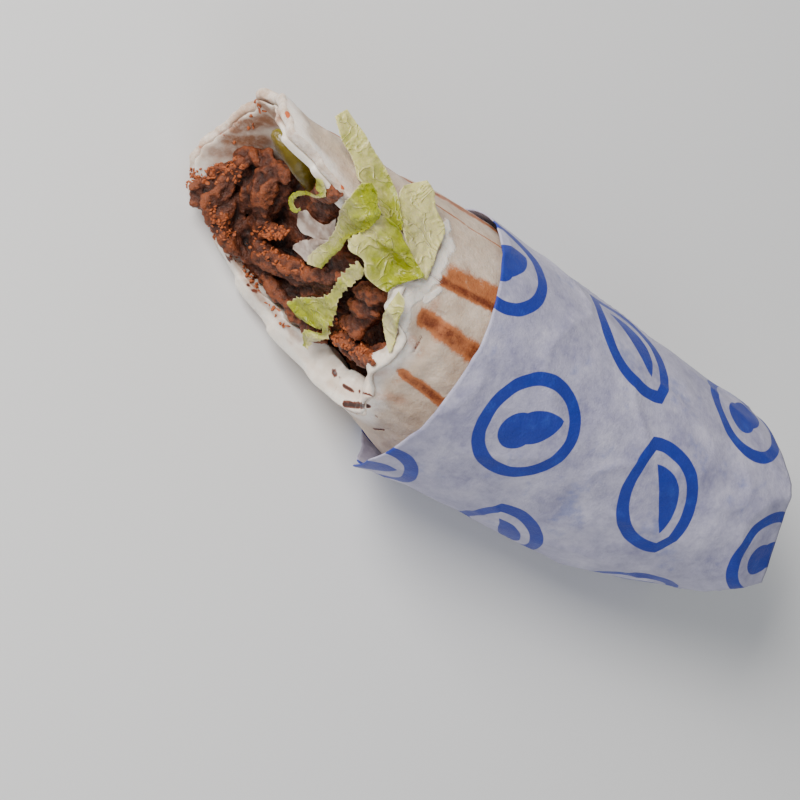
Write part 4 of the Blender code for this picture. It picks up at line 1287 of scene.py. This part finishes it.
def make_beef():
    core = beef_core()
    points = [vert.co.copy() for vert in core.data.vertices]
    faces = [tuple(face.vertices) for face in core.data.polygons]
    bpy.data.objects.remove(core, do_unlink=True)
    lumps = [(cut_point(*first), cut_point(*last), radius * MM) for first, last, radius in BEEF_STRIPS]
    lumps += [(bit_place(*a, high, radius), bit_place(*b, high, radius), radius * MM)
              for a, b, high, radius in BEEF_BITS]
    for seed, lump in enumerate(lumps):
        more, sides = strip_points(*lump, seed)
        base = len(points)
        points += more
        faces += [tuple(base + i for i in side) for side in sides]
    mesh = bpy.data.meshes.new("beef_heap")
    mesh.from_pydata([tuple(point) for point in points], [], faces)
    beef = bpy.data.objects.new("beef_heap", mesh)
    bpy.context.scene.collection.objects.link(beef)
    fuse = beef.modifiers.new("fuse", "REMESH")
    fuse.mode = "VOXEL"
    fuse.voxel_size = BEEF_VOXEL
    return thinned_back(baked_mesh(beef))


beef_heap = make_beef()
print("beef:", triangle_count(beef_heap), "triangles after fusing")

# %% Beef grains
GRAIN = 1.5 * MM
CRAG = 3.1 * MM
CREST_ROUNDS = 40


def beef_relief(spot):
    """How far a point of the beef stands out: crags, and round grains on them."""
    crag = noise.fractal(spot / CRAG + Vector((5, 1, 2)), 0.9, 2.1, 3)
    distances, _ = noise.voronoi(spot / GRAIN + Vector((2, 8, 3)))
    grain = 0.55 - distances[0]
    fine, _ = noise.voronoi(spot / (0.55 * GRAIN))
    return 0.5 * crag * MM + 0.62 * grain * MM + 0.3 * (0.5 - fine[0]) * MM


def evened(mesh, spots, rounds):
    """The points after each has moved to the middle of its neighbours, as many times as asked."""
    ends = np.empty(len(mesh.edges) * 2, np.int32)
    mesh.edges.foreach_get("vertices", ends)
    ends = ends.reshape(-1, 2)
    here = np.concatenate([ends[:, 0], ends[:, 1]])
    there = np.concatenate([ends[:, 1], ends[:, 0]])
    count = np.maximum(np.bincount(here, minlength=len(spots)), 1)
    for _ in range(rounds):
        sums = [np.bincount(here, spots[there, axis], len(spots)) for axis in range(3)]
        spots = np.stack(sums, 1) / count[:, None]
    return spots


def roughen_beef():
    """Pushes the front of the heap in and out, and keeps how far each point went."""
    mesh = beef_heap.data
    spots = [vert.co.copy() for vert in mesh.vertices]
    normals = [vert.normal.copy() for vert in mesh.vertices]
    heights = []
    for i, (spot, normal) in enumerate(zip(spots, normals)):
        front = blend(-8 * MM, -22 * MM, spot.x)
        height = beef_relief(spot) if front > 0 else 0.0
        heights.append(height / MM)
        spots[i] = spot + normal * height * front
    spots = np.array(spots)
    mesh.vertices.foreach_set("co", spots.astype(np.float32).ravel())
    mesh.update()
    mesh.shade_smooth()
    # How far a point stands out from its smoothed place paints shade into the crevices and light onto the
    # crests.
    stands_out = ((spots - evened(mesh, spots, CREST_ROUNDS)) * np.array(normals)).sum(1) / MM
    add_values(beef_heap, "crest", 0.6 * np.array(heights) + 0.75 * stands_out)


roughen_beef()
print("lowest corner of the beef in mm:", [round(v / MM, 1) for v in point_array(beef_heap).min(0)])

# %% Beef finish
# BEEF_SHADE is the painted shade of the crevices; BEEF_ORANGE is partly painted light on the crests.
BEEF_SHADE = srgb(30, 12, 6)
BEEF_BROWN = srgb(76, 36, 19)
BEEF_CRUST = srgb(106, 54, 30)
BEEF_ORANGE = srgb(140, 72, 34)


def beef_finish():
    finish, tree, shader, place = new_finish("browned_beef", 0.5, 0.4)
    patches = mottled(tree, place, 7 * MM, 2.4)
    fine = mottled(tree, place, 1.1 * MM, 2.6)
    # The crest value paints the crevices dark as shade, and the crests orange brown, partly as painted light.
    height = uneven(tree, point_value(tree, "crest"), fine, 0.5)
    colour = tint(tree, ramp(tree, height, -0.9, 0.05), BEEF_SHADE, BEEF_BROWN)
    warm = tint(tree, patches, BEEF_CRUST, BEEF_ORANGE)
    colour = tint(tree, ramp(tree, height, 0.0, 0.75), colour, warm)
    plug(tree, colour, shader.inputs["Base Color"])
    plug(tree, ramp(tree, fine, 0.2, 0.8, 0.38, 0.66), shader.inputs["Roughness"])
    grains = cells(tree, place, 0.5 * MM)
    height = calc(tree, "MULTIPLY_ADD", grains, -0.8, cloud(tree, place, 0.35 * MM, 4.0, 0.65))
    relief(tree, shader, height, 0.3 * MM, 0.8)
    soft_light(shader, 0.12, (1.0, 0.3, 0.15), 0.8 * MM)
    return finish


BEEF_FINISH = beef_finish()
beef_heap.data.materials.append(BEEF_FINISH)
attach(beef_heap, "root")
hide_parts("beef")
print("beef finished")

# %% [markdown]
# ## Leaves
# Shredded lettuce is thin, ruffled and torn. A leaf is a grid of points between two ragged borders, lifted in
# waves. Each point is raised towards the camera until it clears what lies below, so a leaf drapes over the
# crags of the beef. Its thickness is made as a second sheet joined at the border.

# %% Settling on the filling
ground_trees = []


def resting_distance(px, py, plan):
    """How far down a pixel's ray a leaf rests: on what lies there, or on its level plane or the cut's."""
    hit = first_hit(ground_trees, px, py)
    if "level" in plan:
        open_air = (plan["level"] * MM - EYE.z) / picture_ray(px, py).z
    else:
        open_air = (over_cut(px, py, plan["over"]) - EYE).length
    return open_air if hit is None else min((hit - EYE).length, open_air)


def smooth_path(points, count):
    """Points along a Catmull-Rom curve through the given rows of numbers."""
    rows = np.array(points, float)
    padded = np.vstack([2 * rows[0] - rows[1], rows, 2 * rows[-1] - rows[-2]])
    found = []
    for place in np.linspace(0, len(rows) - 1, count):
        k = min(int(place), len(rows) - 2)
        t = place - k
        a, b, c, d = padded[k : k + 4]
        square, cube = 2 * a - 5 * b + 4 * c - d, 3 * b - a - 3 * c + d
        found.append(0.5 * (2 * b + (c - a) * t + square * t**2 + cube * t**3))
    return found


def softened(heights, floor, rounds):
    """Heights of a grid, evened out but never under the floor."""
    for _ in range(rounds):
        padded = np.pad(heights, 1, mode="edge")
        around = padded[:-2, 1:-1] + padded[2:, 1:-1] + padded[1:-1, :-2] + padded[1:-1, 2:]
        heights = np.maximum(0.5 * heights + 0.125 * around, floor)
    return heights


# %% A leaf
LEAF_COLUMNS = 21
LEAF_STEP = 1.6  # pixels between rows
LEAF_CLEAR = 0.5 * MM
LEAF_THICKNESS = 0.5 * MM
ONION_THICKNESS = 0.9 * MM
SETTLING_ROUNDS = 30


def even_line(corners, count):
    """Pixels evenly spaced along a line through the corners, rounded off a little."""
    rows = np.array(smooth_path(corners, 12 * len(corners)))
    steps = np.concatenate([[0], np.cumsum(np.linalg.norm(np.diff(rows, axis=0), axis=1))])
    places = np.linspace(0, steps[-1], count)
    return np.stack([np.interp(places, steps, rows[:, axis]) for axis in (0, 1)], 1)


def two_noises(coarse, fine):
    return noise.noise(Vector(coarse)), noise.noise(Vector(fine))


def border_length(corners):
    return sum(math.dist(a, b) for a, b in zip(corners, corners[1:]))


def leaf_grid(name, plan):
    """The leaf's middle sheet, between its two borders in the picture and resting on what lies below."""
    length = max(border_length(plan["left"]), border_length(plan["right"]))
    rows = max(int(length / LEAF_STEP), 20)
    left, right = even_line(plan["left"], rows), even_line(plan["right"], rows)
    seed = sum(ord(letter) for letter in name) % 50
    shape = (rows, LEAF_COLUMNS)
    pixels, distance, lift = np.zeros(shape + (2,)), np.zeros(shape), np.zeros(shape)
    for r in range(rows):
        for c in range(LEAF_COLUMNS):
            share = c / (LEAF_COLUMNS - 1)
            across = 2 * share - 1
            bites, nicks = two_noises((r * 0.45, seed, across), (r * 1.1, seed, across))
            torn = 0.9 * bites + 0.6 * nicks
            pixels[r, c] = mix(left[r], right[r], share) + plan["torn"] * torn * abs(across) ** 3
            distance[r, c] = resting_distance(*pixels[r, c], plan)
            ripple = 0.5 + 0.5 * math.sin(plan["waves"] * math.tau * r / rows + 2.2 * across + seed)
            folds, dents = two_noises((*(pixels[r, c] / 11), seed), (*(pixels[r, c] / 5), seed))
            crumple = folds + 0.5 * dents
            lift[r, c] = (plan["ruffle"] * (ripple * (0.35 + 0.65 * abs(across)) + 0.45 * crumple)) * MM
    floor = -distance + LEAF_CLEAR
    near = softened(floor, floor, SETTLING_ROUNDS) + np.maximum(lift, 0)
    return [
        [EYE - picture_ray(*pixels[r, c]) * near[r, c] for c in range(LEAF_COLUMNS)]
        for r in range(rows)
    ]


def thick_sheet(name, grid, thickness):
    """A closed thin solid over a grid of points, rounded off at its border by its own thinness."""
    rows, columns = len(grid), len(grid[0])
    count = rows * columns
    middle = [point for row in grid for point in row]
    points = []
    for side in (1, -1):
        for i, point in enumerate(middle):
            r, c = divmod(i, columns)
            inner = min(r, rows - 1 - r, 3) / 3 * min(c, columns - 1 - c, 3) / 3
            points.append(point + EYE_BACK * side * thickness * (0.25 + 0.25 * inner))
    faces = []
    for r in range(rows - 1):
        for c in range(columns - 1):
            a = r * columns + c
            faces.append((a, a + 1, a + columns + 1, a + columns))
            faces.append((count + a, count + a + columns, count + a + columns + 1, count + a + 1))
    border = list(range(columns)) + [r * columns + columns - 1 for r in range(1, rows)]
    border += [(rows - 1) * columns + c for c in range(columns - 2, -1, -1)]
    border += [r * columns for r in range(rows - 2, 0, -1)]
    for a, b in zip(border, border[1:] + border[:1]):
        faces.append((a, count + a, count + b, b))
    obj = link_mesh(name, points, faces)
    steps = np.arange(count)
    along_leaf = (steps // columns) / (rows - 1)
    across = (steps % columns) / (columns - 1)
    add_values(obj, "lengthways", np.tile(along_leaf, 2))
    add_values(obj, "sideways", np.tile(across, 2))
    return obj


# %% Where the leaves lie
# Each leaf by its two borders where they show, in pixels from its root to its tip, the height of its ruffles
# in millimetres, their number and how torn its borders are in pixels. Where nothing is below it, a leaf lies
# over the cut by a height or on a level over the floor, both in millimetres. The last row is how green it is
# at its root, its tip, its left border and its right border.
LEAVES = {
    "onion_1": {
        "left": [(298, 213), (306, 210), (313, 218), (325, 225), (336, 218)],
        "right": [(297, 225), (302, 233), (313, 238), (319, 246), (335, 241)],
        "ruffle": 0.4, "waves": 1.0, "torn": 1.2, "over": -3.5, "green": (0, 0, 0, 0),
    },
    "onion_2": {
        "left": [(293, 246), (301, 241), (316, 239), (330, 241)],
        "right": [(293, 249), (301, 256), (308, 262), (325, 255)],
        "ruffle": 0.3, "waves": 1.0, "torn": 1.2, "over": -3.5, "green": (0, 0, 0, 0),
    },
    "lettuce_4": {
        "left": [(404, 185), (398, 197), (399, 208), (402, 225), (407, 245), (415, 263), (423, 279)],
        "right": [(427, 180), (434, 191), (436, 208), (445, 229), (437, 252), (433, 266), (427, 280)],
        "ruffle": 0.8, "waves": 1.6, "torn": 1.2, "level": 50.5, "green": (0.05, 0.15, 0.2, -0.1),
    },
    "lettuce_8": {
        "left": [(390, 303), (383, 315), (383, 325), (386, 342), (389, 353)],
        "right": [(399, 291), (405, 303), (399, 322), (396, 337), (391, 352)],
        "ruffle": 0.5, "waves": 1.4, "torn": 1.2, "over": -1.0, "green": (0.1, 0.0, -0.1, 0.3),
    },
    "lettuce_1": {
        "left": [(335, 116), (338, 128), (343, 143), (350, 154), (355, 167), (358, 179), (370, 189),
                  (377, 201), (381, 213), (389, 221)],
        "right": [(347, 109), (356, 122), (365, 134), (374, 150), (385, 167), (393, 183), (398, 196),
                  (401, 211), (403, 223), (402, 231)],
        "ruffle": 0.8, "waves": 2.2, "torn": 1.2, "level": 50.0, "green": (0.12, 0.55, 0.0, 0.15),
    },
    "lettuce_7": {
        "left": [(316, 178), (316, 189), (320, 193), (315, 195), (306, 191), (296, 192), (289, 198),
                  (290, 209), (296, 213), (301, 210)],
        "right": [(323, 180), (326, 192), (324, 197), (316, 198), (306, 195), (297, 197), (294, 201),
                  (295, 207), (298, 209), (300, 207)],
        "ruffle": 0.35, "waves": 1.5, "torn": 1.2, "over": -1.5, "green": (0.6, 0.75, 0.2, -0.2),
    },
    "lettuce_3": {
        "left": [(381, 215), (367, 229), (351, 237), (348, 243), (350, 251), (363, 260), (365, 275),
                  (376, 286), (386, 292)],
        "right": [(388, 218), (399, 228), (404, 240), (409, 248), (416, 262), (424, 276), (413, 280),
                  (398, 285), (388, 292)],
        "ruffle": 0.9, "waves": 1.7, "torn": 1.2, "level": 50.0, "green": (0.1, 0.5, -0.1, 0.6),
    },
    "lettuce_2": {
        "left": [(361, 183), (351, 195), (342, 206), (338, 218), (335, 229), (327, 241), (317, 248),
                  (308, 257), (307, 264)],
        "right": [(372, 183), (377, 192), (378, 206), (381, 215), (368, 229), (350, 237), (340, 250),
                  (328, 261), (322, 269)],
        "ruffle": 0.8, "waves": 2.0, "torn": 1.2, "over": -1.0, "green": (0.95, 0.5, -0.45, 0.25),
    },
    "lettuce_5": {
        "left": [(358, 261), (347, 269), (339, 278), (332, 290), (323, 297), (308, 297), (296, 298),
                  (286, 303)],
        "right": [(366, 272), (358, 280), (347, 289), (339, 300), (335, 315), (329, 328), (316, 328),
                  (297, 317)],
        "ruffle": 1.6, "waves": 4.5, "torn": 3.0, "over": -0.6, "green": (0.35, 0.7, 0.0, 0.15),
    },
    "lettuce_6": {
        "left": [(319, 317), (323, 327), (320, 333), (308, 330), (303, 331), (303, 346)],
        "right": [(328, 322), (330, 331), (327, 339), (318, 341), (313, 343), (307, 349)],
        "ruffle": 0.7, "waves": 1.8, "torn": 2.0, "over": -1.0, "green": (0.6, 0.4, 0.2, -0.2),
    },
}

# %% Leaf finishes
LEAF_PALE = srgb(212, 204, 138)
LEAF_GREEN = srgb(146, 152, 8)
LEAF_DEEP = srgb(88, 94, 0)
ONION_CLEAR = srgb(142, 118, 104)
ONION_EDGE = srgb(198, 184, 172)


def leaf_finish():
    finish, tree, shader, place = new_finish("lettuce", 0.36, 0.45)
    patches = mottled(tree, place, 6 * MM, 2.6)
    green = uneven(tree, point_value(tree, "green"), patches, 0.6)
    veins = calc(tree, "ABSOLUTE", calc(tree, "SUBTRACT", cloud(tree, place, 4.5 * MM, 2.0, 0.5, 0.6), 0.5))
    line = ramp(tree, veins, 0.0, 0.045, 1.0, 0.0)
    # Both borders are painted paler, as light that shines through the thin edge of the leaf.
    aside = calc(tree, "ABSOLUTE", calc(tree, "MULTIPLY_ADD", point_value(tree, "sideways"), 2.0, -1.0))
    green = calc(tree, "SUBTRACT", green, calc(tree, "MULTIPLY", ramp(tree, aside, 0.86, 1.0), 0.25))
    green = calc(tree, "SUBTRACT", green, calc(tree, "MULTIPLY", line, 0.16))
    colour = tint(tree, ramp(tree, green, 0.05, 0.75), LEAF_PALE, LEAF_GREEN)
    colour = tint(tree, ramp(tree, green, 0.75, 1.3), colour, LEAF_DEEP)
    plug(tree, colour, shader.inputs["Base Color"])
    height = calc(tree, "MULTIPLY_ADD", line, 0.5, cloud(tree, place, 1.8 * MM, 4.0))
    relief(tree, shader, height, 0.6 * MM, 0.8)
    soft_light(shader, 0.55, (0.8, 1.0, 0.35), 1.6 * MM)
    return finish


def onion_finish():
    finish, tree, shader, place = new_finish("onion", 0.28, 0.5)
    streaks = cloud(tree, place, 2.5 * MM, 3.0)
    edge = ramp(tree, point_value(tree, "sideways"), 0.7, 1.0)
    colour = tint(tree, ramp(tree, streaks, 0.35, 0.7), ONION_CLEAR, ONION_EDGE)
    plug(tree, tint(tree, edge, colour, ONION_EDGE), shader.inputs["Base Color"])
    relief(tree, shader, streaks, 0.3 * MM, 0.4)
    soft_light(shader, 0.35, (1.0, 0.8, 0.7), 1.2 * MM)
    return finish


LEAF_FINISH = leaf_finish()
ONION_FINISH = onion_finish()
print("leaf finishes ready")

# %% [markdown]
# ## Pickle
# One long slice of pickled cucumber lies in the hollow above the beef: olive green, wet, with paler flesh
# along one edge and a skin along the other. It is a tube of ovals along its spine, pinched unevenly.

# %% Pickle shape and finish
# Its spine by where it shows: pixel and height over the cut in millimetres
PICKLE_SPINE = [(274, 132, 2.2), (283, 141, 1.4), (293, 153, 0.4), (303, 167, -1.0), (310, 180, -3.4),
                (315, 196, -8.0)]
PICKLE_HALF_WIDTH = 2.5 * MM
PICKLE_HALF_THICKNESS = 1.3 * MM
PICKLE_TIP = 0.5 * MM
PICKLE_ROWS = 60
PICKLE_COLUMNS = 40
PICKLE_SKIN = srgb(104, 88, 12)
PICKLE_FLESH = srgb(128, 120, 34)
PICKLE_DEEP = srgb(72, 52, 4)


def make_pickle():
    stations = [Vector(row) for row in smooth_path([over_cut(*row) for row in PICKLE_SPINE], PICKLE_ROWS)]
    rows, across = [], []
    for k, spot in enumerate(stations):
        ahead = stations[min(k + 1, PICKLE_ROWS - 1)] - stations[max(k - 1, 0)]
        side = ahead.cross(SETTLE).normalized()
        up = side.cross(ahead).normalized()
        share = k / (PICKLE_ROWS - 1)
        swell = math.sin(math.pi * (0.04 + 0.92 * share)) ** 0.45
        row = []
        for c in range(PICKLE_COLUMNS):
            angle = math.tau * c / PICKLE_COLUMNS
            pinch = 1 + 0.07 * wave((k * 0.2, math.cos(angle), math.sin(angle)), 1.3, 51)
            wide = side * math.cos(angle) * PICKLE_HALF_WIDTH * swell * pinch
            row.append(spot + wide + up * math.sin(angle) * PICKLE_HALF_THICKNESS * swell * pinch)
            across.append(math.cos(angle))
        rows.append(row)
    first = stations[0] + (stations[0] - stations[1]).normalized() * PICKLE_TIP
    last = stations[-1] + (stations[-1] - stations[-2]).normalized() * PICKLE_TIP
    pickle = ring_surface("pickle_slice_skin", rows, first, last)
    add_values(pickle, "sideways", [0.0] + across + [0.0])
    return pickle


def pickle_finish():
    finish, tree, shader, place = new_finish("pickle", 0.24, 0.5)
    patches = mottled(tree, place, 3.5 * MM, 2.2)
    seeds = speckled(tree, place, 1.6 * MM, 0.18, 0.4)
    side = uneven(tree, point_value(tree, "sideways"), patches, 0.6)
    colour = tint(tree, ramp(tree, side, -1.0, -0.2), PICKLE_FLESH, PICKLE_SKIN)
    colour = tint(tree, ramp(tree, side, 0.3, 1.1), colour, PICKLE_DEEP)
    colour = tint(tree, calc(tree, "MULTIPLY", seeds, 0.3), colour, PICKLE_FLESH)
    plug(tree, colour, shader.inputs["Base Color"])
    relief(tree, shader, cloud(tree, place, 1.3 * MM, 3.0), 0.4 * MM, 0.5)
    soft_light(shader, 0.3, (0.8, 1.0, 0.2), 1.2 * MM)
    return finish


pickle_slice = make_pickle()
pickle_slice.data.materials.append(pickle_finish())
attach(pickle_slice, "root")
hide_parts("pickle_slice")
print("pickle finished")

# %% Lettuce bed and leaves
BED_ROWS = 70
BED_COLUMNS = 30
BED_REACHES = (-76 * MM, 8 * MM)
BED_ANGLES = (62, 108)
BED_THICKNESS = 0.7 * MM


def make_bed():
    """The lettuce that runs through the roll, between the beef and the sauce."""
    grid = []
    for r in range(BED_ROWS):
        reach = mix(*BED_REACHES, r / (BED_ROWS - 1))
        row = []
        for c in range(BED_COLUMNS):
            share = c / (BED_COLUMNS - 1)
            angle = math.radians(mix(*BED_ANGLES, share))
            depth = sauce_depth(reach, angle) + GAP + 0.55 * BED_ROOM
            depth += 0.45 * MM * math.sin(r * 0.33 + share * 8)
            depth += 0.2 * MM * wave((reach, angle * 20 * MM, 0), 3 * MM, 61)
            row.append(roll_point(reach, angle, depth))
        grid.append(row)
    return thick_sheet("lettuce_bed_skin", grid, BED_THICKNESS)


def dress_leaf(obj, node, finish, green):
    lengthways = np.empty(len(obj.data.vertices), np.float32)
    sideways = lengthways.copy()
    obj.data.attributes["lengthways"].data.foreach_get("value", lengthways)
    obj.data.attributes["sideways"].data.foreach_get("value", sideways)
    root, tip, left, right = green
    add_values(obj, "green", mix(root, tip, lengthways) + mix(left, right, sideways))
    obj.data.materials.append(finish)
    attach(obj, "root")
    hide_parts(node)


lettuce_bed = make_bed()
dress_leaf(lettuce_bed, "lettuce_bed", LEAF_FINISH, (0.4, 0.5, 0, 0))
for carrier in (flatbread, garlic_sauce, beef_heap, pickle_slice, lettuce_bed):
    ground_trees.append(surface_tree(carrier))
for leaf_name, leaf_plan in LEAVES.items():
    kind = leaf_name.split("_")[0]
    leaf_thickness = {"onion": ONION_THICKNESS, "lettuce": LEAF_THICKNESS}[kind]
    leaf = thick_sheet(leaf_name + "_skin", leaf_grid(leaf_name, leaf_plan), leaf_thickness)
    finish = {"onion": ONION_FINISH, "lettuce": LEAF_FINISH}[kind]
    dress_leaf(leaf, leaf_name, finish, leaf_plan["green"])
    ground_trees.append(surface_tree(leaf))
    print(leaf.name, triangle_count(leaf), "triangles")

# %% [markdown]
# ## Crumbs
# Orange brown crumbs cling to the cut's rim and to the beef. They are all alike but for size and turn, so a
# Geometry Nodes tree scatters them: points spread over the carrier by a density that is kept on it, a small
# ball at each point, and noise that makes the balls craggy. Realize Instances turns them into one real mesh.

# %% Crumb tree
CRUMB_SIZE = 0.42 * MM
CRUMB_DENSITY = 2.2e6  # to the square metre, where the mark is full


def build_crumb_tree():
    tree = bpy.data.node_groups.new("scatter_crumbs", "GeometryNodeTree")
    face = tree.interface
    face.new_socket("Geometry", in_out="INPUT", socket_type="NodeSocketGeometry")
    numbers = [
        ("Density", "NodeSocketFloat", CRUMB_DENSITY), ("Crumb size", "NodeSocketFloat", CRUMB_SIZE),
        ("Seed", "NodeSocketInt", 7), ("Finish", "NodeSocketMaterial", None),
    ]
    for label, kind, value in numbers:
        socket = face.new_socket(label, in_out="INPUT", socket_type=kind)
        if value is not None:
            socket.default_value = value
    face.new_socket("Geometry", in_out="OUTPUT", socket_type="NodeSocketGeometry")
    start, end = tree.nodes.new("NodeGroupInput"), tree.nodes.new("NodeGroupOutput")
    density = tree.nodes.new("GeometryNodeInputNamedAttribute")
    density.inputs["Name"].default_value = "crumbs"
    amount = tree.nodes.new("ShaderNodeMath")
    amount.operation = "MULTIPLY"
    spread = tree.nodes.new("GeometryNodeDistributePointsOnFaces")
    ball = tree.nodes.new("GeometryNodeMeshIcoSphere")
    ball.inputs["Subdivisions"].default_value = 2
    stand = tree.nodes.new("GeometryNodeInstanceOnPoints")
    turn = tree.nodes.new("FunctionNodeRandomValue")
    turn.data_type = "FLOAT_VECTOR"
    turn.inputs["Max"].default_value = (math.tau, math.tau, math.tau)
    size = tree.nodes.new("FunctionNodeRandomValue")
    size.data_type = "FLOAT_VECTOR"
    size.inputs["Min"].default_value = (0.35, 0.3, 0.25)
    size.inputs["Max"].default_value = (1.8, 1.3, 1.0)
    real = tree.nodes.new("GeometryNodeRealizeInstances")
    push = tree.nodes.new("GeometryNodeSetPosition")
    rough = tree.nodes.new("ShaderNodeTexNoise")
    rough.inputs["Scale"].default_value = 1 / (0.6 * MM)
    less = tree.nodes.new("ShaderNodeVectorMath")
    less.operation = "SUBTRACT"
    less.inputs[1].default_value = (0.5, 0.5, 0.5)
    shift = tree.nodes.new("ShaderNodeVectorMath")
    shift.operation = "SCALE"
    shift.inputs["Scale"].default_value = 0.5 * MM
    paint = tree.nodes.new("GeometryNodeSetMaterial")
    joins = [
        (start.outputs["Geometry"], spread.inputs["Mesh"]),
        (density.outputs["Attribute"], amount.inputs[0]),
        (start.outputs["Density"], amount.inputs[1]),
        (amount.outputs[0], spread.inputs["Density"]),
        (start.outputs["Seed"], spread.inputs["Seed"]),
        (spread.outputs["Points"], stand.inputs["Points"]),
        (start.outputs["Crumb size"], ball.inputs["Radius"]),
        (ball.outputs["Mesh"], stand.inputs["Instance"]),
        (next(s for s in turn.outputs if s.type == "VECTOR"), stand.inputs["Rotation"]),
        (next(s for s in size.outputs if s.type == "VECTOR"), stand.inputs["Scale"]),
        (stand.outputs["Instances"], real.inputs["Geometry"]),
        (real.outputs["Geometry"], push.inputs["Geometry"]),
        (rough.outputs["Color"], less.inputs[0]),
        (less.outputs[0], shift.inputs[0]),
        (shift.outputs[0], push.inputs["Offset"]),
        (push.outputs["Geometry"], paint.inputs["Geometry"]),
        (start.outputs["Finish"], paint.inputs["Material"]),
        (paint.outputs["Geometry"], end.inputs["Geometry"]),
    ]
    for source, target in joins:
        tree.links.new(source, target)
    return tree


CRUMB_TREE = build_crumb_tree()
print("crumb tree with", len(CRUMB_TREE.nodes), "nodes")

# %% Crumbs on the rim and the beef
# Where crumbs show: two pixels, half width in pixels and how dense they lie
RIM_CRUMBS = [
    ((190, 178), (212, 176), 8.0, 1.0), ((189, 196), (206, 214), 6.0, 0.8),
    ((206, 216), (220, 238), 7.0, 0.9), ((222, 240), (240, 258), 5.0, 0.6),
    ((246, 272), (258, 290), 4.0, 0.7), ((236, 256), (252, 276), 4.0, 0.5),
    ((264, 296), (290, 330), 3.5, 0.3), ((226, 140), (250, 120), 8.0, 0.15),
    ((250, 96), (262, 108), 4.0, 0.4),
]
BEEF_CRUMBS = [
    ((214, 172), (232, 170), 12.0, 0.7), ((214, 214), (228, 234), 9.0, 0.7),
    ((262, 232), (282, 234), 8.0, 0.7), ((330, 330), (352, 346), 12.0, 0.5),
    ((350, 346), (370, 360), 10.0, 0.4), ((255, 245), (300, 268), 10.0, 0.3),
]
CRUMB_ORANGE = srgb(176, 94, 48)
CRUMB_BROWN = srgb(134, 66, 34)


def crumb_finish():
    finish, tree, shader, place = new_finish("beef_crumbs", 0.55, 0.4)
    shade = mottled(tree, place, 1.4 * MM, 3.0)
    plug(tree, tint(tree, shade, CRUMB_ORANGE, CRUMB_BROWN), shader.inputs["Base Color"])
    relief(tree, shader, cloud(tree, place, 0.3 * MM, 3.0), 0.2 * MM, 0.7)
    return finish


def scatter(name, carrier, tree, marks, seed, finish):
    """Crumbs on a carrier where the marks say, as a plain mesh of their own."""
    bed = bpy.data.objects.new(name, carrier.data.copy())
    bpy.context.scene.collection.objects.link(bed)
    add_values(bed, "crumbs", strokes(carrier, [tree], marks))
    nodes = bed.modifiers.new("scatter", "NODES")
    nodes.node_group = CRUMB_TREE
    wanted = {"Density": CRUMB_DENSITY, "Crumb size": CRUMB_SIZE, "Seed": seed, "Finish": finish}
    for socket in CRUMB_TREE.interface.items_tree:
        if socket.item_type == "SOCKET" and socket.in_out == "INPUT" and socket.name in wanted:
            nodes[socket.identifier] = wanted[socket.name]
    bed.data.update()
    baked_mesh(bed)
    bed.data.shade_smooth()
    return bed


CRUMB_FINISH = crumb_finish()
for crumb_name, carrier, marks, seed in (
    ("rim_crumbs", garlic_sauce, RIM_CRUMBS, 3), ("beef_crumbs", beef_heap, BEEF_CRUMBS, 5),
    ("bread_crumbs", flatbread, RIM_CRUMBS, 8),
):
    crumbs = scatter(crumb_name, carrier, surface_tree(carrier), marks, seed, CRUMB_FINISH)
    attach(crumbs, "root")
    print(crumb_name, len(crumbs.data.polygons), "faces")
